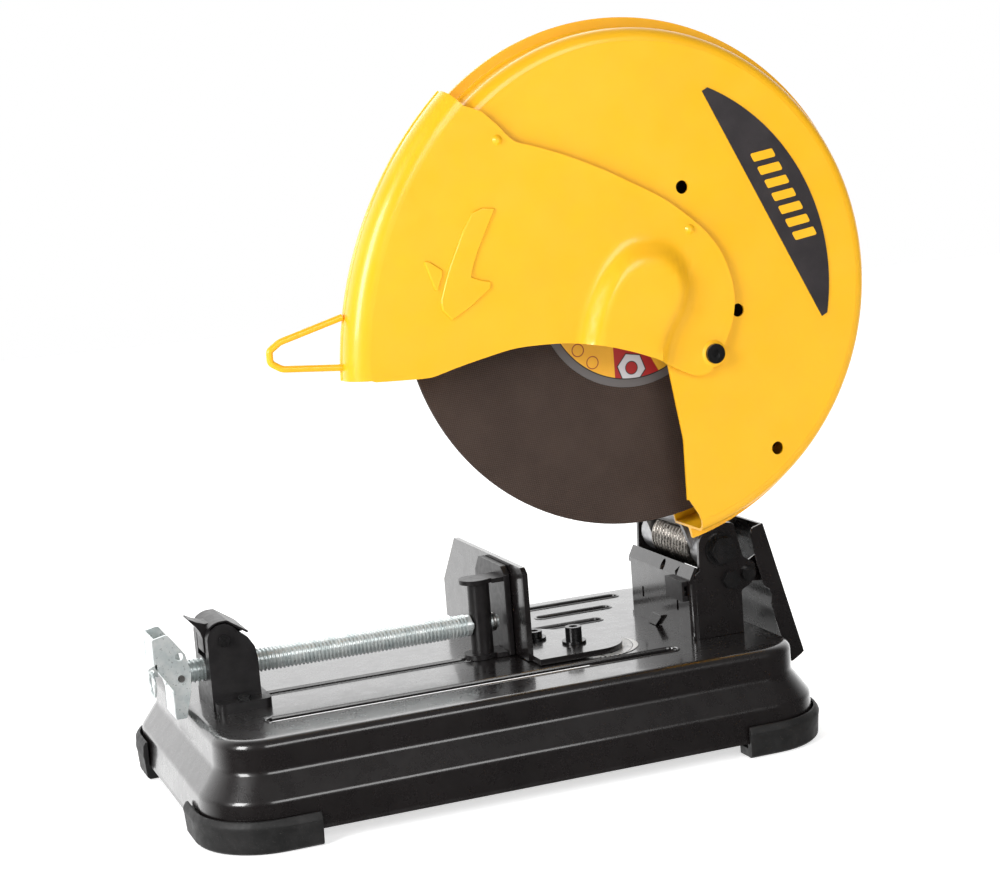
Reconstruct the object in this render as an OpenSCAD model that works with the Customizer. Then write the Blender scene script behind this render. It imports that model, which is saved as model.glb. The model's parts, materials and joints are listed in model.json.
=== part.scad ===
// Abrasive chop saw: pressed base, swivel fence, quick vise and a spring-lifted cutting head.
// Row frame: origin on the floor under the middle of the outline, +X to the rear pivot,
// +Y to the motor side, +Z up. Head parts are drawn about the wheel centre.

/* [Wheel and guard] */
// cutting wheel diameter
wheel_d = 355; // [350:1:360]
// cutting wheel thickness
wheel_t = 2.8; // [2.4:0.1:3.2]
// paper label radius on the wheel
label_r = 73.5; // [60:0.5:74]
// fixed guard wall radius
guard_wall_r = 192; // [190:0.5:194]
// fixed guard seam flange radius
guard_flange_r = 200.5; // [198:0.5:202]
// fixed guard near face, Y from the wheel face
guard_y0 = -25; // [-27:0.5:-23]
// fixed guard back face, Y from the wheel face
guard_y1 = 27; // [26:0.5:27]
// guard sheet thickness
guard_t = 2; // [1.5:0.1:2.2]
// moving guard outer rim radius about its pivot
swing_r = 285; // [284:0.5:288]

/* [Base] */
// base top height above the floor
base_top = 76; // [74:0.5:78]
// base plan length at the upper wall
base_l = 459; // [455:1:462]
// base plan width at the upper wall
base_w = 268; // [264:1:270]
// base sheet thickness
base_t = 2.5; // [2:0.1:3]
// outward flare of the lower skirt
base_flare = 13; // [10:0.5:14]
// vertical corner radius of the upper wall
base_corner = 36; // [30:1:40]

/* [Motor and handle] */
// motor housing radius
motor_r = 50; // [48:0.5:51]
// motor housing end, Y from the wheel face
motor_end = 236; // [230:1:238]
// handle shell width in all
handle_w = 32; // [28:1:34]

/* [View] */
// sub-part to draw

/* [Hidden] */
$fn = 64;

wheel_x = 89;
wheel_y = -88;
wheel_z = 357;
pivot_x = 71;
pivot_z = -211.4;
swing_x = 54;
swing_z = -52;
floor_z = -wheel_z;
deck_z = base_top - wheel_z;
motor_gap = 70;
motor_a = 60;
motor_x = motor_gap * cos(motor_a);
motor_z = motor_gap * sin(motor_a);
handle_a = 175;
handle_y = 100;
screw_y = 73.5;
screw_z = -254;
screw_r = 9;
fit = 0.06;
gear_teeth = 58;
pinion_teeth = 12;
tooth_m = 2;
lock_a = 60;
gear_y0 = 40;
gear_y1 = 52;
black = [0.09, 0.09, 0.095];
paint = [1, 0.78, 0.16];
zinc = [0.78, 0.79, 0.8];
alloy = [0.68, 0.69, 0.7];
steel = [0.5, 0.5, 0.52];

// ---- helpers ----
module head() {
    translate([wheel_x, wheel_y, wheel_z]) children();
}

// 2D outline (X, Z) made solid between two Y values
module slab(y0, y1) {
    translate([0, y1, 0]) rotate([90, 0, 0]) linear_extrude(y1 - y0) children();
}

// 2D outline (Y, Z) made solid between two X values
module slab_x(x0, x1) {
    translate([x0, 0, 0]) rotate([90, 0, 90]) linear_extrude(x1 - x0) children();
}

module rod_y(x, z, r, y0, y1) {
    translate([x, y1, z]) rotate([90, 0, 0]) cylinder(r = r, h = y1 - y0);
}

module rod_x(y, z, r, x0, x1) {
    translate([x0, y, z]) rotate([0, 90, 0]) cylinder(r = r, h = x1 - x0);
}

module rod_z(x, y, r, z0, z1) {
    translate([x, y, z0]) cylinder(r = r, h = z1 - z0);
}

module hex_y(x, z, r, y0, y1) {
    translate([x, y1, z]) rotate([90, 0, 0]) cylinder(r = r, h = y1 - y0, $fn = 6);
}

// profile (radius, Y) turned about the wheel axis from angle a0 to a1 in the X-Z plane
module turn(a0, a1) {
    rotate([-90, 0, 0]) rotate([0, 0, -a1]) rotate_extrude(angle = a1 - a0, $fn = 180) children();
}

module spin_y() {
    rotate([-90, 0, 0]) rotate_extrude($fn = 128) children();
}

// outline of two circles and their outer tangents
module link(p, rp, q, rq) {
    a = atan2(q[1] - p[1], q[0] - p[0]);
    b = acos((rp - rq) / norm(q - p));
    translate(p) circle(r = rp);
    translate(q) circle(r = rq);
    polygon([
        p + rp * [cos(a + b), sin(a + b)],
        p + rp * [cos(a - b), sin(a - b)],
        q + rq * [cos(a - b), sin(a - b)],
        q + rq * [cos(a + b), sin(a + b)]
    ]);
}

// polygon grown outwards by a rounding radius
module rounded(pts, r) {
    polygon(pts);
    for (i = [0 : len(pts) - 1]) {
        link(pts[i], r, pts[(i + 1) % len(pts)], r);
    }
}

// points of an arc
function arc(cx, cy, r, a0, a1, n) = [for (i = [0 : n]) [cx + r * cos(a0 + (a1 - a0) * i / n), cy + r * sin(a0 + (a1 - a0) * i / n)]];

module slot_z(x0, x1, y, w, z0, z1) {
    translate([0, 0, z0]) linear_extrude(z1 - z0) link([x0 + w / 2, y], w / 2, [x1 - w / 2, y], w / 2);
}

// ---- base ----
base_mid_x = -30.5;
flare_z1 = 53;
flare_z0 = 35;
skirt_z0 = 11;
edge_r = 10;
draft = 2;
half_x = base_l / 2 - base_corner;
half_y = base_w / 2 - base_corner;

// skirt section: distance from the corner centre, height
function skirt(t) = concat(
    [[base_corner - edge_r, base_top - t]],
    arc(base_corner - edge_r, base_top - edge_r, edge_r - t, 90, 0, 8),
    [[base_corner - t, flare_z1], [base_corner + base_flare - t, flare_z0], [base_corner + base_flare + draft - t, skirt_z0]]
);
function reversed(v) = [for (i = [len(v) - 1 : -1 : 0]) v[i]];

module skirt_section() {
    polygon(concat(skirt(0), reversed(skirt(base_t))));
}

module skirt_side(len_half, off) {
    translate([-len_half, off, 0]) rotate([90, 0, 90]) linear_extrude(2 * len_half) skirt_section();
}

module base_pan() {
    color(black) difference() {
        translate([base_mid_x, 0, 0]) {
            for (a = [0, 90, 180, 270]) {
                sx = (a == 0 || a == 270) ? 1 : -1;
                sy = (a == 0 || a == 90) ? 1 : -1;
                translate([sx * half_x, sy * half_y, 0]) rotate(a) rotate_extrude(angle = 90) skirt_section();
            }
            skirt_side(half_x, half_y);
            rotate(180) skirt_side(half_x, half_y);
            rotate(-90) skirt_side(half_y, half_x);
            rotate(90) skirt_side(half_y, half_x);
            translate([0, 0, base_top - base_t]) linear_extrude(base_t)
                rounded([[half_x, half_y], [-half_x, half_y], [-half_x, -half_y], [half_x, -half_y]], base_corner - edge_r);
        }
        z0 = base_top - base_t - 5;
        z1 = base_top + 5;
        translate([wheel_x, wheel_y, 0]) {
            slot_z(-305, 22, 1.4, 12, z0, z1);
            slot_z(-290, -98, screw_y, 9, z0, z1);
            slot_z(-72, 60, 197, 9, z0, z1);
            slot_z(-29, 38, 163, 9, z0, z1);
            slot_z(-72, 14, 127, 9, z0, z1);
            rod_z(-43, 50, 4.06, z0, z1);
        }
    }
}

foot_leg = 26;
foot_top = 24;
foot_top_tall = 30;

module foot(sx, sy, top) {
    outer = base_corner + base_flare + draft;
    centre = [base_mid_x + sx * half_x, sy * half_y];
    translate([centre[0], centre[1], 0]) mirror([sx < 0 ? 1 : 0, 0, 0]) mirror([0, sy < 0 ? 1 : 0, 0]) {
        rotate_extrude(angle = 90) foot_section(outer, top);
        translate([-foot_leg, 0, 0]) rotate([90, 0, 90]) linear_extrude(foot_leg) foot_section(outer, top);
        rotate([90, 0, 0]) linear_extrude(foot_leg) foot_section(outer, top);
    }
}

module foot_section(outer, top) {
    polygon([
        [outer - 16, 0], [outer + 1, 0], [outer + 3, 2], [outer + 4, 16], [outer + 4.6, 19], [outer + 4, top - 3],
        [outer + 2, top], [outer + 0.15, top], [outer + 0.15, skirt_z0 - 0.1], [outer - 3, skirt_z0 - 0.1],
        [outer - 3, 7], [outer - 16, 7]
    ]);
}

module corner_feet() {
    color([0.05, 0.05, 0.05]) {
        foot(1, 1, foot_top);
        foot(1, -1, foot_top);
        foot(-1, -1, foot_top);
        foot(-1, 1, foot_top_tall);
    }
}

// ---- vise ----
block_y0 = 50;
block_y1 = 97;
lever_x = -320;
lever_z = -229;

module vise_block() {
    color(black) head() difference() {
        union() {
            slab(block_y0, block_y1) {
                translate([lever_x, lever_z]) circle(r = 12);
                polygon([[lever_x - 12, deck_z], [lever_x - 12, lever_z], [lever_x, lever_z + 12], [lever_x + 3, lever_z + 12],
                    [-301.5, -229.5], [-297, -237], [-295.5, -246], [-295.3, deck_z]]);
            }
            translate([0, 0, deck_z]) linear_extrude(7)
                rounded([[-325, 43], [-296, 43], [-296, 104], [-325, 104]], 6);
        }
        slab(60, 87) polygon([[-340, -208], [-340, -244.4], [-298, -244.4], [-298, -208]]);
        rod_x(screw_y, screw_z, screw_r + fit, -340, -280);
        slab(62, 85) polygon([[-321, -262], [-299, -262], [-299, -275], [-321, -275]]);
        rod_y(lever_x, lever_z, 3.06, block_y0 - 1, block_y1 + 1);
        rod_z(-310, 43, 2.8, deck_z - 1, deck_z + 8);
        rod_z(-310, 104, 2.8, deck_z - 1, deck_z + 8);
    }
}

module vise_bolts() {
    color(steel) head() {
        for (y = [43, 104]) {
            rod_z(-310, y, 2.7, deck_z + 0.2, deck_z + 7);
            translate([-310, y, deck_z + 7]) cylinder(r = 5, h = 3.5, $fn = 6);
        }
    }
}

module half_nut() {
    color([0.72, 0.58, 0.3]) head() difference() {
        slab(62.3, 84.7) polygon([[-320.7, -263.3], [-299.3, -263.3], [-299.3, -274.8], [-320.7, -274.8]]);
        rod_x(screw_y, screw_z, screw_r + 1.2, -340, -280);
    }
}

module quick_release_lever() {
    color([0.16, 0.16, 0.17]) head() difference() {
        union() {
            slab(51, 96) polygon(concat(
                arc(lever_x, lever_z, 14.6, 90, 150, 6), [[-343, -208.5], [-344, -210]], arc(lever_x, lever_z, 13, 150, 90, 6),
                [[lever_x + 3.4, lever_z + 13], [-301.5, -226.4], [-300.4, -225.2], [lever_x + 4, lever_z + 14.6]]));
            slab(61, 86) difference() {
                polygon(concat([[lever_x - 13, lever_z], [lever_x - 13, -239], [lever_x - 11, -239], [lever_x - 8, lever_z - 6],
                    [lever_x + 8, lever_z - 6], [lever_x + 12, lever_z + 2]],
                    [[-302, -226.6], [lever_x + 3.4, lever_z + 13.2]], arc(lever_x, lever_z, 13.4, 90, 180, 8)));
            }
        }
        rod_y(lever_x, lever_z, 3.06, 40, 110);
    }
}

module lever_pin() {
    color(steel) head() {
        rod_y(lever_x, lever_z, 3, block_y0 - 1.5, block_y1 + 1.5);
        rod_y(lever_x, lever_z, 4.6, block_y0 - 3, block_y0 - 1.5);
    }
}

module vise_screw() {
    color(zinc) head() {
        rod_x(screw_y, screw_z, screw_r, -350, -120.2);
        rod_x(screw_y, screw_z, 5, -121, -97);
    }
}

module crank_arm() {
    color(zinc) head() difference() {
        union() {
            for (y = [56, 89]) {
                slab(y, y + 2) polygon([[-371, -222], [-360, -219.5], [-348, -236], [-345, -250], [-346, -264], [-351, -284],
                    [-359, -284], [-359, -262], [-371, -243]]);
            }
            slab(56, 91) polygon([[-371, -222], [-371, -243], [-359, -262], [-359, -284], [-357, -284], [-357, -261.4],
                [-369, -242.4], [-369, -222]]);
            slab(56, 58) polygon([[-371, -240], [-371, -250], [-376, -249], [-376, -243]]);
            rod_x(screw_y, screw_z, 7, -362, -357);
        }
        rod_y(-353.5, -237, 3.2, 55, 59);
        rod_y(-373.5, -246, 1.9, 55, 59);
        rod_y(-352.5, screw_z, 2.5, 55, 92);
    }
}

module crank_pin() {
    color(steel) head() {
        rod_y(-352.5, screw_z, 2.44, 55, 63.5);
        rod_y(-352.5, screw_z, 2.44, 83.5, 92);
    }
}

module crank_ring() {
    color(zinc) head() translate([-373.5, 57, -255]) rotate([0, 90, 0]) rotate_extrude() translate([9, 0]) circle(r = 1.1, $fn = 24);
}

post_x = -111;
post_r = 8.75;

module jaw_carrier() {
    color([0.2, 0.2, 0.21]) head() difference() {
        union() {
            rod_z(post_x, screw_y, post_r, deck_z + 0.4, -221);
            for (z = [[-221, -217.5], [deck_z + 0.4, -277]]) {
                translate([0, 0, z[0]]) linear_extrude(z[1] - z[0])
                    link([post_x - 3, screw_y], 12, [-99, screw_y], 6);
            }
            translate([-94.4, 62, -221]) cube([1, 23, 3.5]);
            translate([-103, 62, -221]) cube([9, 23, 3.5]);
            translate([-103, 62, deck_z + 0.4]) cube([9, 23, 3.6]);
            translate([post_x - 8, screw_y - 4, deck_z - 5]) cube([16, 8, 6]);
        }
        rod_x(screw_y, screw_z, 5 + fit, post_x - 15, post_x + 15);
    }
}

module jaw_plate() {
    color([0.2, 0.2, 0.21]) head() {
        slab_x(-93.4, -88.4) polygon([[61, deck_z + 0.4], [127, deck_z + 0.4], [127, -222], [117, -210], [68, -210], [61, -216]]);
    }
}

module jaw_pin() {
    color(steel) head() difference() {
        rod_x(screw_y, screw_z, 7.5, -101.9, -99.7);
        rod_x(screw_y, screw_z, 5, -103, -99);
    }
}

// ---- fence ----
module fence() {
    color([0.13, 0.13, 0.14]) head() difference() {
        union() {
            slab_x(-87.8, -83.6) polygon([[35, deck_z + 0.9], [223, deck_z + 0.9], [223, -248], [189, -207.5], [40, -207.5], [35, -212]]);
            translate([0, 0, deck_z + 0.9]) linear_extrude(4.6) {
                translate([-34, 44]) circle(r = 27);
                polygon([[-85, 17], [-34, 17], [-7, 44], [-14, 66], [-50, 110], [-85, 150]]);
            }
            slab_x(-84, -64) polygon([[139, deck_z + 1], [143, deck_z + 1], [143, -262], [139, -262]]);
        }
        rod_z(-43, 50, 4.06, deck_z - 1, deck_z + 7);
        translate([0, 0, deck_z]) linear_extrude(7) link([-68, 74], 4.1, [-62, 84], 4.1);
    }
}

module flanged_bolt(x, y, depth, tall) {
    rod_z(x, y, 4, deck_z - depth, deck_z + 6);
    rod_z(x, y, 9.5, deck_z + 5.7, deck_z + 7.5);
    difference() {
        rod_z(x, y, 6.5, deck_z + 7.5, deck_z + 7.5 + tall);
        translate([x, y, deck_z + 3.5 + tall]) cylinder(r = 3.6, h = 6, $fn = 6);
    }
}

module fence_pivot_bolt() {
    color(black) head() flanged_bolt(-43, 50, 12, 11);
}

module fence_bolt() {
    color(black) head() flanged_bolt(-65, 79, -1.2, 5);
}

module angle_scale() {
    color([0.85, 0.85, 0.83]) head() difference() {
        translate([-26, 44, deck_z + 0.1]) cylinder(r = 32, h = 0.5);
        translate([-43, 50, deck_z - 1]) cylinder(r = 4.1, h = 4);
    }
}

// ---- rear bracket ----
near_y = 14;
far_y = 125;
sheet = 4;
side_outline = [
    [44, -281], [44, -229], [52, -226], [53, -203], [58, -195.5], [78, -191], [84, -192], [91, -221],
    [101, -226], [102, -236], [96, -243], [88, -247], [88, -281]
];

module pivot_bracket() {
    color(black) head() difference() {
        union() {
            slab(near_y, near_y + sheet) polygon(side_outline);
            slab(far_y, far_y + sheet) polygon(side_outline);
            slab(near_y, far_y + sheet) polygon([[43.5, -281], [46.5, -281], [46.5, -233], [51, -224], [48.4, -222.8], [43.5, -232]]);
            translate([44, near_y, deck_z]) cube([44, far_y + sheet - near_y, 3]);
        }
        rod_y(pivot_x, pivot_z, 8 + fit, 0, 140);
        rod_y(78, -236.5, 4.1, 0, 140);
        rod_y(94, -234, 3.06, 0, 140);
        translate([40, 66, -227]) rotate([0, 62, 0]) cylinder(r = 5, h = 16);
        translate([44, 37, -229]) rotate([0, 62, 0]) translate([0, 0, -4]) cylinder(r = 5, h = 16, $fn = 3);
        for (yz = [[107, -259], [44, -257]]) {
            slab_x(40, 50) translate(yz) link([0, -3], 1.5, [0, 3], 1.5);
        }
        rod_z(66, 32, 4.1, -285, -270);
        rod_z(66, 112, 4.1, -285, -270);
    }
}

module bracket_brace() {
    color(black) head() difference() {
        slab(near_y + sheet, far_y) polygon([[84.5, -278], [87.5, -278], [87.5, -246], [84.5, -246]]);
        slab_x(80, 92) translate([70, -262]) circle(r = 8);
    }
}

module bracket_bolts() {
    color(steel) head() {
        hex_y(78, -236.5, 7.5, near_y - 4.5, near_y);
        hex_y(78, -236.5, 7.5, far_y + sheet, far_y + sheet + 4.5);
        rod_y(78, -236.5, 4, near_y, near_y + 9);
        rod_y(78, -236.5, 4, far_y - 5, far_y + sheet);
        for (y = [32, 112]) {
            rod_z(66, y, 4, deck_z + 0.2, deck_z + 3);
            translate([66, y, deck_z + 3]) cylinder(r = 7.5, h = 5, $fn = 6);
        }
    }
}

module pivot_shaft() {
    color(steel) head() {
        rod_y(pivot_x, pivot_z, 8, near_y, far_y + sheet + 7);
        rod_y(pivot_x, pivot_z, 13, near_y - 1.8, near_y);
        hex_y(pivot_x, pivot_z, 11, near_y - 8, near_y - 1.8);
    }
}

module pivot_nut() {
    color(steel) head() difference() {
        hex_y(pivot_x, pivot_z, 13, far_y + sheet + 0.1, far_y + sheet + 7);
        rod_y(pivot_x, pivot_z, 8.02, far_y, far_y + sheet + 8);
    }
}

coil_n = 12;
coil_pitch = 5.4;
coil_r = 17.6;
wire_r = 2.5;

module torsion_spring() {
    color(steel) head() {
        for (i = [0 : coil_n - 1]) {
            translate([pivot_x, 36.6 + i * coil_pitch, pivot_z]) rotate([90, 0, 0])
                rotate_extrude() translate([coil_r, 0]) circle(r = wire_r, $fn = 24);
        }
    }
}

module wrench_clip() {
    color([0.2, 0.2, 0.21]) head() difference() {
        slab(19, 50) polygon([[38.5, -234], [43.5, -234], [43.5, -250], [38.5, -250]]);
        slab(18, 51) polygon([[40.5, -238], [44.5, -238], [44.5, -246], [40.5, -246]]);
    }
}

chain_n = 5;
link_pitch = 8.4;
link_r = 5.4;
chain_y = 138.2;

module lockdown_chain() {
    color(zinc) head() {
        for (i = [0 : chain_n - 1]) {
            translate([93, chain_y, -240.5 - i * link_pitch]) rotate([0, 0, i % 2 == 0 ? 45 : 135])
                rotate([90, 0, 0]) rotate_extrude() translate([link_r, 0]) circle(r = 1, $fn = 16);
        }
    }
}

// ---- spark deflector ----
deflect_x = 94;
deflect_z = -234;
deflector_side = [
    [97.5, -202], [99, -198], [108.6, -195.4], [139.4, -304.6], [128.3, -311], [126, -310], [117, -279.6],
    [112.7, -261.4], [113.7, -255], [111.7, -249.3], [107.1, -246.4], [102, -229]
];

module spark_deflector() {
    color(black) head() difference() {
        union() {
            slab(near_y - 2.4, near_y - 0.4) polygon(deflector_side);
            slab(near_y - 2.4, 142) polygon([[106.7, -196], [108.6, -195.4], [139.4, -304.6], [137.5, -305.2]]);
            slab(140, 142) polygon(deflector_side);
            for (y = [near_y + sheet + 0.5, far_y - 2.5]) {
                slab(y, y + 2) {
                    translate([deflect_x, deflect_z]) circle(r = 7.5);
                    polygon([[deflect_x, deflect_z + 7.5], [113.4, -216], [121.4, -244], [deflect_x, deflect_z - 7.5]]);
                }
            }
        }
        rod_y(deflect_x, deflect_z, 3.06, 0, 150);
    }
}

module deflector_bolt() {
    color(steel) head() {
        rod_y(deflect_x, deflect_z, 3, near_y, far_y + sheet);
        rod_y(deflect_x, deflect_z, 5.5, near_y - 3, near_y);
        hex_y(deflect_x, deflect_z, 6, far_y + sheet, far_y + sheet + 4);
    }
}

// ---- arm and gear case ----
arm_mid = [50, -148];

module head_arm() {
    color(alloy) head() difference() {
        union() {
            rod_y(pivot_x, pivot_z, 17, 19.5, 33.3);
            slab(28.5, 33.3) link([pivot_x, pivot_z], 16, arm_mid, 18);
            rod_y(pivot_x, pivot_z, 17, 101, 122);
            slab(101, 109.6) link([pivot_x, pivot_z], 16, arm_mid, 17);
            difference() {
                slab(29.5, 108) link([62, -180], 17.5, arm_mid, 20);
                slab(33.3, 101) translate([pivot_x, pivot_z]) circle(r = 23);
                slab(70, 101) link([62, -180], 9, [52, -150], 12);
            }
            slab(27.6, 62) link(arm_mid - [1, -1], 21.5, [24, -52], 34);
        }
        rod_y(pivot_x, pivot_z, 8 + fit, 0, 140);
        slab(34, 64) link([48, -132], 10, [34, -92], 15);
        rod_y(0, 0, 68.3, 20, 70);
    }
}

case_y0 = 27.2;
case_y1 = 58;

module case_outline(grow) {
    link([0, 0], 68 + grow, [motor_x, motor_z], 54 + grow);
}

module gear_case() {
    color(alloy) head() difference() {
        slab(case_y0, case_y1) case_outline(0);
        slab(36, case_y1 + 1) {
            circle(r = 62);
            translate([motor_x, motor_z]) circle(r = 20);
        }
        rod_y(0, 0, 19, case_y0 - 1, 40);
        for (a = [140, 200, 260, 320]) {
            rod_y(56 * cos(a), 56 * sin(a), 3.05, case_y0 - 1, 34);
        }
        translate([-60 * sin(lock_a), 46, 60 * cos(lock_a)]) rotate([0, -lock_a, 0]) cylinder(r = 5.06, h = 20);
    }
}

module gear_cover() {
    color(alloy) head() difference() {
        union() {
            slab(case_y1, case_y1 + 5) case_outline(0);
            rod_y(0, 0, 16.6, case_y1 + 5, case_y1 + 12);
        }
        rod_y(0, 0, 14, case_y1 - 1, case_y1 + 9);
        rod_y(motor_x, motor_z, 13, case_y1 - 1, case_y1 + 6);
        for (a = [150, 205, 260, 315]) {
            rod_y(64.6 * cos(a), 64.6 * sin(a), 2.05, case_y1 - 1, case_y1 + 6);
        }
    }
}

module cover_screws() {
    color(steel) head() {
        for (a = [150, 205, 260, 315]) {
            rod_y(64.6 * cos(a), 64.6 * sin(a), 2, case_y1, case_y1 + 5);
            rod_y(64.6 * cos(a), 64.6 * sin(a), 3.9, case_y1 + 5, case_y1 + 8);
        }
    }
}

module motor_axis() {
    head() translate([motor_x, 0, motor_z]) children();
}

housing_y0 = case_y1 + 5;
housing_y1 = 186;

module motor_housing() {
    color(paint) motor_axis() difference() {
        spin_y() polygon([[motor_r - 3.5, housing_y0], [motor_r + 3, housing_y0], [motor_r + 3, housing_y0 + 6],
            [motor_r, housing_y0 + 10], [motor_r, housing_y1], [motor_r - 3.5, housing_y1]]);
        for (s = [-1, 1]) {
            rod_x(177, 0, 8.2, s > 0 ? 40 : -60, s > 0 ? 60 : -40);
        }
    }
}

module motor_end_cap() {
    color([0.1, 0.1, 0.105]) motor_axis() difference() {
        spin_y() polygon([[motor_r - 3, housing_y1], [motor_r, housing_y1], [motor_r - 1, 222], [motor_r - 8, 233],
            [motor_r - 16, motor_end], [0, motor_end], [0, motor_end - 3], [motor_r - 18, motor_end - 3],
            [motor_r - 11, 230], [motor_r - 4, 220]]);
        for (a = [20 : 20 : 160]) {
            for (s = [0, 180]) {
                rotate([0, a + s, 0]) translate([motor_r - 12, 196, -2]) cube([16, 22, 4]);
            }
        }
        for (a = [0 : 45 : 315]) {
            rotate([0, a, 0]) translate([14, motor_end - 5, -1.8]) cube([16, 8, 3.6]);
        }
    }
}

module stator() {
    color([0.35, 0.33, 0.32]) motor_axis() difference() {
        rod_y(0, 0, motor_r - 3.8, 96, 150);
        rod_y(0, 0, 28.6, 95, 151);
        for (a = [45, 225]) {
            rotate([0, a, 0]) translate([30, 95, -14]) cube([10, 56, 28]);
        }
    }
}

module brush_set() {
    for (s = [0, 180]) {
        rotate([0, s, 0]) children();
    }
}

module carbon_brushes() {
    color([0.15, 0.15, 0.16]) motor_axis() brush_set() translate([16.6, 173, -4]) cube([22, 8, 8]);
}

module brush_caps() {
    color(black) motor_axis() brush_set() difference() {
        rod_x(177, 0, 8, 40, 51.5);
        translate([50, 170, -1]) cube([3, 14, 2]);
        rod_x(177, 0, 5, 39, 47);
    }
}

// ---- D handle: local u along the loop, v across it ----
module handle_frame() {
    translate([motor_x, motor_z]) rotate(handle_a) scale([1, -1]) children();
}

module handle_solid(y0, y1) {
    head() difference() {
        slab(y0, y1) handle_frame() difference() {
            rounded([[54, 28], [54, -28], [146, -38], [146, 38]], 12);
            rounded([[84, 20], [84, -20], [112, -30], [118, 30]], 7);
        }
        rod_y(motor_x, motor_z, motor_r + 0.1, y0 - 1, y1 + 1);
        slab(handle_y - 8.5, handle_y + 8.5) handle_frame() polygon([[112, -18.4], [137, -18.4], [137, 18.4], [112, 18.4]]);
        for (p = [[68, 32], [68, -32], [148, 40], [148, -40]]) {
            slab(handle_y - 17, handle_y + 17) handle_frame() translate(p) circle(r = 2.05);
        }
    }
}

module handle_near() {
    color([0.1, 0.1, 0.105]) handle_solid(handle_y - handle_w / 2, handle_y);
}

module handle_far() {
    color([0.1, 0.1, 0.105]) difference() {
        handle_solid(handle_y, handle_y + handle_w / 2);
        head() slab(handle_y, handle_y + 7) handle_frame() translate([74, -44]) rotate(20) square([9, 26], center = true);
    }
}

module handle_screws() {
    color(steel) head() {
        for (p = [[68, 32], [68, -32], [148, 40], [148, -40]]) {
            slab(handle_y - 14, handle_y + 12) handle_frame() translate(p) circle(r = 2);
            slab(handle_y - 18, handle_y - 16) handle_frame() translate(p) circle(r = 3.6);
        }
    }
}

module trigger() {
    color([0.75, 0.1, 0.08]) head() slab(handle_y - 8, handle_y + 8) handle_frame() {
        rounded([[111, -14], [126, -14], [126, 14], [111, 14]], 4);
    }
}

module spindle_lock() {
    color(black) head() translate([-60 * sin(lock_a), 46, 60 * cos(lock_a)]) rotate([0, -lock_a, 0]) {
        translate([0, 0, 6]) cylinder(r = 5, h = 10);
        translate([0, 0, 15.5]) cylinder(r = 8, h = 4);
    }
}

// ---- fixed guard ----
guard_a0 = -82;
guard_a1 = 168;
face_r = 10;
hub_step = 0.3;

// cup section: radius, Y
function cup(t) = concat(
    [[40, guard_y0 + t], [guard_wall_r - face_r, guard_y0 + t]],
    arc(guard_wall_r - face_r, guard_y0 + face_r, face_r - t, -90, 0, 8),
    [[guard_wall_r - t, guard_y1 - hub_step - t], [64, guard_y1 - hub_step - t]]
);

module guard_section() {
    polygon(concat(cup(0), reversed(cup(guard_t))));
    polygon([[guard_wall_r - 1, 0], [guard_flange_r - 1.5, 0], [guard_flange_r, 1], [guard_flange_r, 2.4],
        [guard_flange_r - 1.5, 3.4], [guard_wall_r - 1, 3.4]]);
}

module fixed_guard() {
    color(paint) head() difference() {
        union() {
            turn(guard_a0, guard_a1) guard_section();
            slab(guard_y1 - guard_t, guard_y1) circle(r = 70);
        }
        slab(guard_y0 - 1, guard_y0 + face_r + 0.8) {
            polygon([[27, -210], [27, -115], [18, -58], [20, -30], [0, 20], [-60, 20], [-140, 12], [-215, 34], [-215, -210]]);
            circle(r = 46.3);
        }
        slab(guard_y0 - 2, guard_y1 + 2) polygon([[-60, -240], [-60, -161], [28.5, -161], [36.4, -173.7], [40, -192], [44, -240]]);
        for (p = [[38.5, 73.2], [78.8, -22.2], [106, -131]]) {
            rod_y(p[0], p[1], 5, guard_y0 - 1, guard_y0 + 3);
        }
        rod_y(swing_x, swing_z, 4.06, guard_y0 - 1, guard_y0 + 3);
        rod_y(0, 0, 20.5, guard_y1 - 3, guard_y1 + 1);
        for (a = [140, 200, 260, 320]) {
            rod_y(56 * cos(a), 56 * sin(a), 3.05, guard_y1 - 3, guard_y1 + 1);
        }
    }
}

module guard_bolts() {
    color(steel) head() {
        for (a = [140, 200, 260, 320]) {
            rod_y(56 * cos(a), 56 * sin(a), 3, guard_y1 - guard_t, 33.5);
            hex_y(56 * cos(a), 56 * sin(a), 5.5, guard_y1 - guard_t - 4, guard_y1 - guard_t);
        }
    }
}

badge_a = 27.3;
badge_r = 158;
badge_in = 118;

module badge_panel() {
    color([0.2, 0.19, 0.2]) head() slab(guard_y0 - 0.8, guard_y0) rotate(badge_a) intersection() {
        circle(r = badge_r, $fn = 160);
        translate([badge_in, -99]) square([60, 198]);
    }
}

// ---- turning parts ----
module spindle() {
    color(steel) head() difference() {
        union() {
            rod_y(0, 0, 10, 2.8, 56);
            rod_y(0, 0, 12.65, -0.2, 2.8);
            rod_y(0, 0, 7, 56, 65);
        }
        rod_y(0, 0, 4.02, -1, 22);
    }
}

function tooth(r, a) = [
    (r - 2.4) * [cos(a - 116 / r), sin(a - 116 / r)],
    (r + 1.5) * [cos(a - 44 / r), sin(a - 44 / r)],
    (r + 1.5) * [cos(a + 44 / r), sin(a + 44 / r)],
    (r - 2.4) * [cos(a + 116 / r), sin(a + 116 / r)]
];

module gear(teeth, a0, bore) {
    r = teeth * tooth_m / 2;
    difference() {
        union() {
            circle(r = r - 2.2);
            for (i = [0 : teeth - 1]) {
                polygon(tooth(r, a0 + i * 360 / teeth));
            }
        }
        circle(r = bore);
    }
}

module spindle_gear() {
    color(steel) head() difference() {
        slab(gear_y0, gear_y1) gear(gear_teeth, motor_a, 10);
        for (a = [30 : 60 : 330]) {
            rod_y(34 * cos(a), 34 * sin(a), 9, gear_y0 - 1, gear_y1 + 1);
        }
    }
}

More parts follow.
